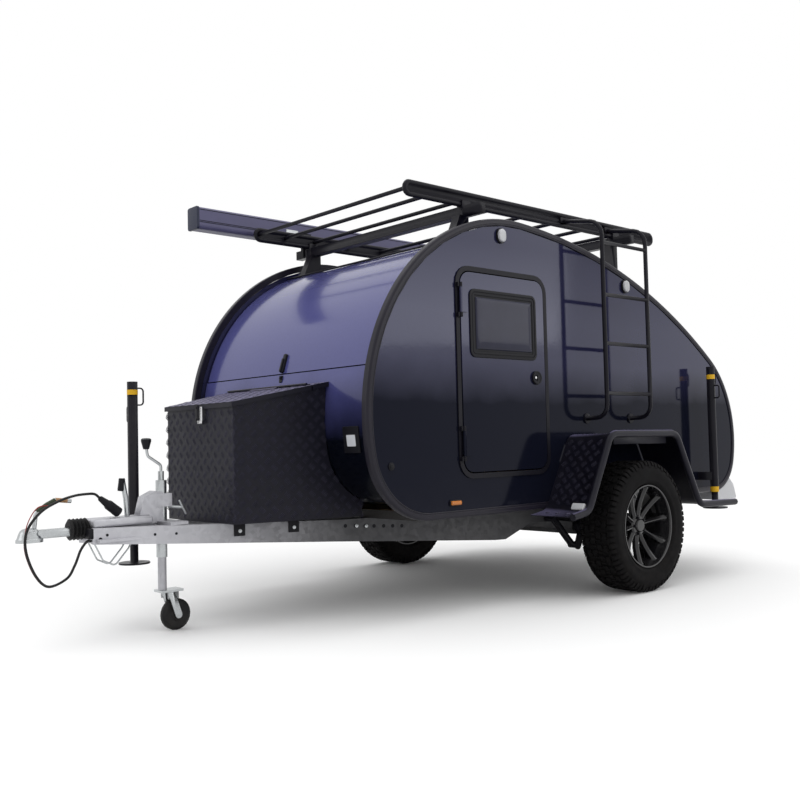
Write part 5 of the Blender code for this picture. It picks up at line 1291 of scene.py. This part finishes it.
def facing(place, normal, up=(0, 0, 1)):
    """A frame on a surface: Z along its normal, Y upwards."""
    normal = Vector(normal).normalized()
    side = Vector(up).cross(normal).normalized()
    plane = Matrix((side, normal.cross(side), normal)).transposed().to_4x4()
    plane.translation = place
    return plane


def add_raised(shape, plane, width, height, radius, levels, hollow=False, steps=8):
    """A rounded rectangle that climbs through (inset, level) steps; hollow makes a closed ring of them."""
    rings = []
    for inset, level in levels:
        across, along = width / 2 - inset, height / 2 - inset
        outline = rounded_rectangle((-across, -along), (across, along), max(0.0006, radius - inset), steps)
        rings.append([shape.verts.new(plane @ Vector((a, b, level))) for a, b in outline])
    join_rings(shape, rings, closed=hollow)


def rounded_steps(proud, edge):
    """Steps of a plate whose upper edge is rounded."""
    return [(0.0, 0.0), (0.0, proud - edge)] + [
        (edge * (1 - math.cos(math.radians(a))), proud - edge + edge * math.sin(math.radians(a)))
        for a in (22, 45, 67, 90)]


def skin_plane(heading, y, inset=SKIN_INSET):
    """A frame on the curved skin at a heading."""
    x, z = outline_point(inset, heading)
    return facing((x, y, z), outline_normal(heading))


def beam_side(x):
    """The drawbar's left outer face, at a place on the axle's scale."""
    return BEAM_Y + (BEAM_X - x) * BEAM_SPREAD + BEAM_HALF


BEAM_X, BEAM_Y, BEAM_SPREAD, BEAM_HALF = 2.600, 0.045, 0.2370, 0.0257
BEAM_NORMAL = (BEAM_SPREAD, 1.0, 0.0)

# %% Door windows and locks
WINDOW_PLACE = (0.795, 1.375)
WINDOW_SIZE = (0.484, 0.330, 0.035)
WINDOW_SECTION = (
    (0.0, 0.0093), (0.0, 0.0140), (0.002, 0.0158), (0.013, 0.0162), (0.0145, 0.0130), (0.017, 0.0130),
    (0.0185, 0.0150), (0.029, 0.0148), (0.031, 0.0118), (0.040, 0.0118), (0.040, 0.0093))
PANE_LEVELS = ((0.0400, 0.0100), (0.0400, 0.0135), (0.0425, 0.0162), (0.0480, 0.0180), (0.0580, 0.0188),
               (0.0750, 0.0190))
LOCK_PLACE = (0.560, 1.123)
DOORS = ("door_left", "door_right")


def make_windows():
    wall = facing(spot(WINDOW_PLACE[0], BODY_HALF_WIDTH, WINDOW_PLACE[1]), (0, 1, 0))
    frames, panes = bmesh.new(), bmesh.new()
    add_raised(frames, wall, *WINDOW_SIZE, WINDOW_SECTION, hollow=True)
    add_raised(panes, wall, *WINDOW_SIZE, PANE_LEVELS)
    both_sides("window_frame", frames, FINISHES["moulded_black"], DOORS, 35,
               (("door_window_left",), ("door_window_right",)))
    both_sides("window_pane", panes, FINISHES["glass"], DOORS, 35)


def make_locks():
    shape = bmesh.new()
    profile = [(0.0345, 0.0095), (0.0345, 0.0190), (0.0325, 0.0212), (0.0270, 0.0215), (0.0250, 0.0196),
               (0.0110, 0.0190), (0.0095, 0.0206), (0.0, 0.0208), (0.0, 0.0095)]
    centre = spot(LOCK_PLACE[0], BODY_HALF_WIDTH, LOCK_PLACE[1])
    add_lathe(shape, profile, "Y", centre, 48)
    paddle = facing(centre + Vector((0.0, 0.0206, 0.0)), (0, 1, 0))
    add_raised(shape, paddle, 0.008, 0.030, 0.0035, rounded_steps(0.0035, 0.0015))
    both_sides("door_lock", shape, FINISHES["moulded_black"], DOORS, 35)
    barrel = bmesh.new()
    add_raised(barrel, facing(centre + Vector((0.014, 0.0190, 0.0)), (0, 1, 0)), 0.013, 0.013, 0.0063,
               rounded_steps(0.0035, 0.0012))
    both_sides("lock_barrel", barrel, FINISHES["steel_bright"], DOORS, 35)


make_windows()
make_locks()

# %% Lamps and markers
MARKER_TABLE = (  # place on the axle's scale, normal, width, height, corner, proud, lens
    ((0.792, 0.7532, 1.823), (0, 1, 0), 0.060, 0.076, 0.0290, 0.022, "lamp_clear"),
    ((-0.249, 0.7532, 1.664), (0, 1, 0), 0.060, 0.076, 0.0290, 0.022, "lamp_clear"),
    ((1.157, 0.7532, 0.526), (0, 1, 0), 0.076, 0.030, 0.0100, 0.016, "lamp_amber"),
    ((0.4990, 0.9640, 0.4680), (0.8839, 0, 0.4677), 0.088, 0.046, 0.0120, 0.020, "lamp_clear"),
    ((-1.3958, 0.6550, 0.4505), (-0.932, 0, 0.361), 0.150, 0.056, 0.0080, 0.006, "lamp_red"),
)
TRAILER_PAIR = ("trailer", "trailer")


def make_markers():
    bases = bmesh.new()
    lenses = {}
    for place, normal, width, height, corner, proud, lens_name in MARKER_TABLE:
        plane = facing(spot(*place), normal)
        add_raised(bases, plane, width, height, corner, rounded_steps(proud * 0.45, 0.002))
        lens = lenses.setdefault(lens_name, bmesh.new())
        add_raised(lens, plane @ Matrix.Translation((0, 0, proud * 0.3)), width - 0.010, height - 0.010,
                   corner - 0.004, rounded_steps(proud * 0.7, min(0.006, proud * 0.5)))
    both_sides("marker_bases", bases, FINISHES["moulded_black"], TRAILER_PAIR, 35)
    for lens_name, lens in lenses.items():
        both_sides("lenses_" + lens_name, lens, FINISHES[lens_name], TRAILER_PAIR, 35)


make_markers()
print("lamps and markers:", 2 * len(MARKER_TABLE))

# %% Latches, label and hasp
BOX_FACE_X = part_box("toolbox_lid")[1].x + 0.0004
FRONT_LATCH, REAR_LATCH = 108.2, 288.5  # headings on the outline
KEEPER, CATCH = 103.2, 103.6
LABEL_Y, LABEL_Z = 0.570, 0.838
PORT_X, PORT_Z = 1.547, 0.709


def lifted(plane, up, out):
    """The same frame, further up and out."""
    return plane @ Matrix.Translation((0, up, out))


def on_box(y, z, out=0.0):
    """A frame on the toolbox lid's front face."""
    return facing((BOX_FACE_X + out, y, z), (1, 0, 0))


latch, rear = skin_plane(FRONT_LATCH, 0.0), skin_plane(REAR_LATCH, 0.0)
label = skin_plane(min(range(60, 104), key=lambda h: abs(outline_point(SKIN_INSET, h)[1] - LABEL_Z)), LABEL_Y)
port = facing(spot(PORT_X, BODY_HALF_WIDTH, PORT_Z), (0, 1, 0))
FITTINGS = (  # piece, finish, body, slot, plates of (frame, width, height, corner, proud, edge)
    ("front_latch", "moulded_black", "front_hatch", "black_coat",
     ((latch, 0.026, 0.100, 0.010, 0.012, 0.004),
      (lifted(latch, -0.012, 0.010), 0.014, 0.070, 0.005, 0.010, 0.003))),
    ("latch_keeper", "moulded_black", "trailer", "black_coat",
     ((skin_plane(KEEPER, 0.0), 0.026, 0.036, 0.006, 0.004, 0.002),
      (skin_plane(CATCH, 0.0), 0.012, 0.018, 0.004, 0.012, 0.003))),
    ("rear_latch", "moulded_black", "rear_hatch", "black_coat",
     ((rear, 0.150, 0.044, 0.012, 0.010, 0.004),
      (lifted(rear, 0.008, 0.006), 0.110, 0.014, 0.006, 0.016, 0.005))),
    ("lid_hasp", "moulded_black", "toolbox_lid", "diamond_plate",
     ((on_box(0.006, 0.966), 0.024, 0.084, 0.006, 0.0035, 0.0015),
      (on_box(0.006, 0.940, 0.003), 0.010, 0.010, 0.0048, 0.004, 0.002),
      (on_box(0.006, 0.995, 0.003), 0.010, 0.010, 0.0048, 0.004, 0.002))),
    ("hasp_hook", "steel_bright", "toolbox_lid", "galvanised",
     ((on_box(0.050, 0.960, 0.002), 0.020, 0.076, 0.003, 0.004, 0.0015),
      (on_box(0.040, 0.928, 0.002), 0.040, 0.014, 0.003, 0.006, 0.0015))),
    ("label_holder", "moulded_black", "trailer", "black_coat", ((label, 0.112, 0.120, 0.006, 0.006, 0.002),)),
    ("blank_label", "label_white", "trailer", "lamp_clear",
     ((lifted(label, -0.004, 0.0055), 0.062, 0.052, 0.004, 0.0012, 0.0006),)),
    ("wall_port", "moulded_black", "trailer", "black_coat",
     ((port, 0.034, 0.034, 0.0168, 0.006, 0.002),
      (lifted(port, 0.0, 0.005), 0.020, 0.020, 0.0098, 0.004, 0.002))),
)
for name, finish_name, body, slot, plates in FITTINGS:
    shape = bmesh.new()
    for plane, width, height, corner, proud, edge in plates:
        add_raised(shape, plane, width, height, corner, rounded_steps(proud, edge))
    settle(name, shape, FINISHES[finish_name], body, 35)
print("latches, hasp, label and port:", len(FITTINGS))

# %% Legs' bands and handles
LEG_RADIUS = 0.0245
HANDLE_REACH = 0.030
HANDLE_DROPS = (0.115, 0.190)
LEG_BANDS = (("front", (-0.062, -0.038)), ("rear_left", (-0.075, -0.048)), ("rear_right", (-0.075, -0.048)))
LOW_BANDS = (("rear_left", (0.465, 0.497)), ("rear_right", (0.465, 0.497)))


def leg_centre(name):
    low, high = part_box("leg_inner_" + name)
    return (low + high) / 2


def make_leg_bands():
    bands, handles = bmesh.new(), bmesh.new()
    for name, (low, high) in LEG_BANDS + LOW_BANDS:
        middle = leg_centre(name)
        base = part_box("leg_tube_" + name)[1].z if low < 0 else 0.0
        ring = [(LEG_RADIUS - 0.001, base + low), (LEG_RADIUS + 0.0008, base + low),
                (LEG_RADIUS + 0.0008, base + high), (LEG_RADIUS - 0.001, base + high)]
        add_lathe(bands, ring, "Z", (middle.x, middle.y, 0), 32)
    settle("leg_bands", bands, FINISHES["band_yellow"], "trailer", 35)
    for name, side in (("front", -1), ("rear_left", 1), ("rear_right", -1)):
        middle = leg_centre(name)
        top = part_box("leg_tube_" + name)[1].z
        (upper, lower), far = HANDLE_DROPS, LEG_RADIUS + HANDLE_REACH
        corners = ((LEG_RADIUS, upper), (far, upper), (far, lower), (LEG_RADIUS, lower))
        loop = [Vector((middle.x, middle.y + side * out, top - drop)) for out, drop in corners]
        add_pipe(handles, rounded_path(loop, 0.012, 5), 0.0045, 10)
    settle("leg_handles", handles, FINISHES["black_coat"], "trailer", 35)


make_leg_bands()

# %% Awning case trim
AWNING_LOW, AWNING_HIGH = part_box("awning_case")
BEAD_LEVELS = (0.30, 0.36, 0.86)  # as parts of the case's height
BRACKETS_X = (1.012, -0.330)


def make_awning_trim():
    """Long beads on the extrusion, rounded end caps and a bright bracket."""
    beads, caps, bracket = bmesh.new(), bmesh.new(), bmesh.new()
    size = AWNING_HIGH - AWNING_LOW
    for level in BEAD_LEVELS:
        z = AWNING_LOW.z + size.z * level
        for y, out in ((AWNING_HIGH.y, 1), (AWNING_LOW.y, -1)):
            edges = sorted((y - out * 0.001, y + out * 0.0016))
            add_block(beads, (AWNING_LOW.x + 0.012, edges[0], z),
                      (AWNING_HIGH.x - 0.012, edges[1], z + 0.0035), 0.0007, 1)
    settle("awning_beads", beads, FINISHES["black_coat"], "trailer", 35)
    middle = (AWNING_LOW + AWNING_HIGH) / 2
    for x, out in ((AWNING_HIGH.x, 1), (AWNING_LOW.x, -1)):
        plane = facing((x - out * 0.010, middle.y, middle.z), (out, 0, 0))
        add_raised(caps, plane, size.y + 0.003, size.z + 0.003, 0.014, rounded_steps(0.014, 0.004))
    settle("awning_caps", caps, FINISHES["cap_grey"], "trailer", 35)
    for x in BRACKETS_X:
        add_raised(bracket, facing(spot(x, AWNING_HIGH.y + 0.0005, 2.043), (0, 1, 0)), 0.085, 0.090, 0.004,
                   rounded_steps(0.003, 0.001))
        for dx in (-0.026, 0.026):
            head = facing(spot(x + dx, AWNING_HIGH.y + 0.003, 2.052), (0, 1, 0))
            add_raised(bracket, head, 0.013, 0.013, 0.0063, rounded_steps(0.006, 0.002))
    settle("awning_brackets", bracket, FINISHES["zinc_plate"], "trailer", 35)


make_awning_trim()

# %% Drawbar details
HOLE_TABLE = ((2.575, 0.440, 0.008), (2.548, 0.456, 0.006), (2.354, 0.445, 0.006), (2.264, 0.443, 0.006),
              (1.478, 0.424, 0.009), (1.424, 0.421, 0.009), (1.374, 0.417, 0.009), (1.330, 0.414, 0.009),
              (1.279, 0.411, 0.009), (1.231, 0.408, 0.009), (1.182, 0.405, 0.009))
BOX_TABS_X = (1.987, 1.734)
SLEEVE_ROUTE = ((2.8120, 0, 0.5668), (2.7700, 0, 0.5940), (2.7350, 0, 0.6110))
SLEEVE_END = ((2.7345, 0, 0.6111), (2.7100, 0, 0.6082), (2.6850, 0, 0.6052))
WIRE_LOOP = ((2.586, 0.030, 0.428), (2.544, 0.030, 0.345), (2.490, 0.030, 0.319), (2.430, 0.030, 0.386),
             (2.405, 0.030, 0.426))
HEAD_LOW, HEAD_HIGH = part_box("coupling_head")
BALL_RADIUS = 0.025
HEAD_LEVELS = ((0.0, 0.0), (0.0, 0.011), (0.0025, 0.0135), (0.006, 0.020), (0.010, 0.034), (0.016, 0.046),
               (0.025, 0.054), (0.036, 0.0575))
HEAD_HALF = (0.042, 0.0535)
HEAD_CORNER = 0.040
HANDLE_POINTS = (
    (2.824, 0, 0.485), (2.815, 0, 0.562), (2.770, 0, 0.594), (2.735, 0, 0.611), (2.668, 0, 0.603))


def make_coupling():
    """A pressed-steel head with its ball socket open below, a neck and the curved handle."""
    shape = bmesh.new()
    middle = HEAD_HIGH.x - HEAD_HALF[1]
    levels = []
    for inset, level in HEAD_LEVELS:
        high = (HEAD_HALF[0] - inset, HEAD_HALF[1] - inset)
        levels.append((rounded_rectangle((-high[0], -high[1]), high, HEAD_CORNER - inset, 8), level))
    for level in (0.0, 0.038):
        circle = rounded_rectangle((-BALL_RADIUS, 0.0015 - BALL_RADIUS), (BALL_RADIUS, 0.0015 + BALL_RADIUS),
                                   BALL_RADIUS * 0.999, 8)
        levels.insert(0, (circle, level))
    plane = facing((middle, 0, HEAD_LOW.z), (0, 0, 1), (1, 0, 0))
    join_rings(shape, [[shape.verts.new(plane @ Vector((a, b, level))) for a, b in outline]
                       for outline, level in levels])
    add_block(shape, (HEAD_LOW.x, -0.026, HEAD_LOW.z + 0.012),
              (middle - 0.020, 0.026, HEAD_LOW.z + 0.048), 0.009, 3)
    add_pipe(shape, rounded_path([spot(*p) for p in HANDLE_POINTS], 0.03, 6), 0.009, 16)
    for y in (-0.030, 0.030):
        ends = [(middle - 0.030, y * reach, HEAD_LOW.z + 0.036) for reach in (0.8, 1.25)]
        add_rod(shape, *ends, 0.009, 16)
    settle("pressed_coupling", shape, FINISHES["zinc_plate"], "trailer", 35, ("coupling_head",))


def make_drawbar_details():
    """Punched holes along the beams as black discs of painted shade, the clamp's T-screw, the brake lever's
    grip and the cover's bolts.
    """
    holes = bmesh.new()
    # Each punched hole is a black disc on the beam's face: painted shade for the dark inside of the tube.
    for x, z, radius in HOLE_TABLE:
        plane = facing(spot(x, beam_side(x), z), BEAM_NORMAL)
        add_raised(holes, plane, 2 * radius, 2 * radius, radius * 0.98, ((0.0, -0.001), (0.0, 0.0004)))
    for x in BOX_TABS_X:
        add_raised(holes, facing(spot(x, beam_side(x), 0.4415), BEAM_NORMAL), 0.052, 0.058, 0.003,
                   rounded_steps(0.005, 0.0015))
    add_block(holes, spot(2.6015, 0.012, 0.443), spot(2.6230, 0.072, 0.486), 0.003, 2)
    both_sides("beam_hole_shade_and_tabs", holes, FINISHES["moulded_black"], TRAILER_PAIR, 35)
    bolts = bmesh.new()
    for x, z in ((1.424, 0.421), (1.374, 0.417)) + tuple((x, 0.435) for x in BOX_TABS_X):
        plane = facing(spot(x, beam_side(x) + 0.0045, z), BEAM_NORMAL)
        add_raised(bolts, plane, 0.017, 0.017, 0.0083, rounded_steps(0.004, 0.0015))
        add_raised(bolts, plane, 0.009, 0.009, 0.0043, rounded_steps(0.007, 0.0015))
    add_pipe(bolts, rounded_path([spot(*p) for p in WIRE_LOOP], 0.02, 6), 0.0035, 10)
    both_sides("beam_bolts_and_loops", bolts, FINISHES["zinc_plate"], TRAILER_PAIR, 35)
    screw = bmesh.new()
    add_rod(screw, spot(2.232, 0.020, 0.552), spot(2.188, 0.068, 0.549), 0.006, 14)
    add_rod(screw, spot(2.203, 0.068, 0.580), spot(2.171, 0.068, 0.518), 0.005, 14)
    for y in (-0.055, 0.055):
        for x in (2.360, 2.560):
            add_rod(screw, spot(x, y, 0.487), spot(x, y, 0.4985), 0.0085, 6)
            add_rod(screw, spot(x, y, 0.487), spot(x, y, 0.5045), 0.0045, 12)
    settle("clamp_screw_and_bolts", screw, FINISHES["zinc_plate"], "trailer", 30)
    grip = bmesh.new()
    low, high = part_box("handbrake_lever")
    y = (low.y + high.y) / 2
    path = [spot(2.4475, 0, 0.632), spot(2.4465, 0, 0.640), spot(2.4430, 0, 0.666), spot(2.4405, 0, 0.684),
            spot(2.4402, 0, 0.6875)]
    add_pipe(grip, [p + Vector((0, y, 0)) for p in path], [0.0126, 0.0140, 0.0134, 0.0140, 0.0105], 20)
    knob = [(0.0085, 0.8100), (0.0130, 0.8110), (0.0180, 0.8300), (0.0226, 0.8460), (0.0218, 0.8550),
            (0.0150, 0.8590), (0.0, 0.8600), (0.0, 0.8100)]
    add_lathe(grip, knob, "Z", spot(2.325, 0, 0), 28)
    settle("brake_grip_and_crank_knob", grip, FINISHES["moulded_black"], "trailer", 35)
    for name, points, finish_name in (("handle_sleeve", SLEEVE_ROUTE, "olive_sleeve"),
                                      ("handle_end", SLEEVE_END, "grip_tan")):
        sleeve = bmesh.new()
        add_pipe(sleeve, [spot(*p) for p in points], 0.0094, 16)
        settle(name, sleeve, FINISHES[finish_name], "trailer", 35)


make_coupling()
make_drawbar_details()
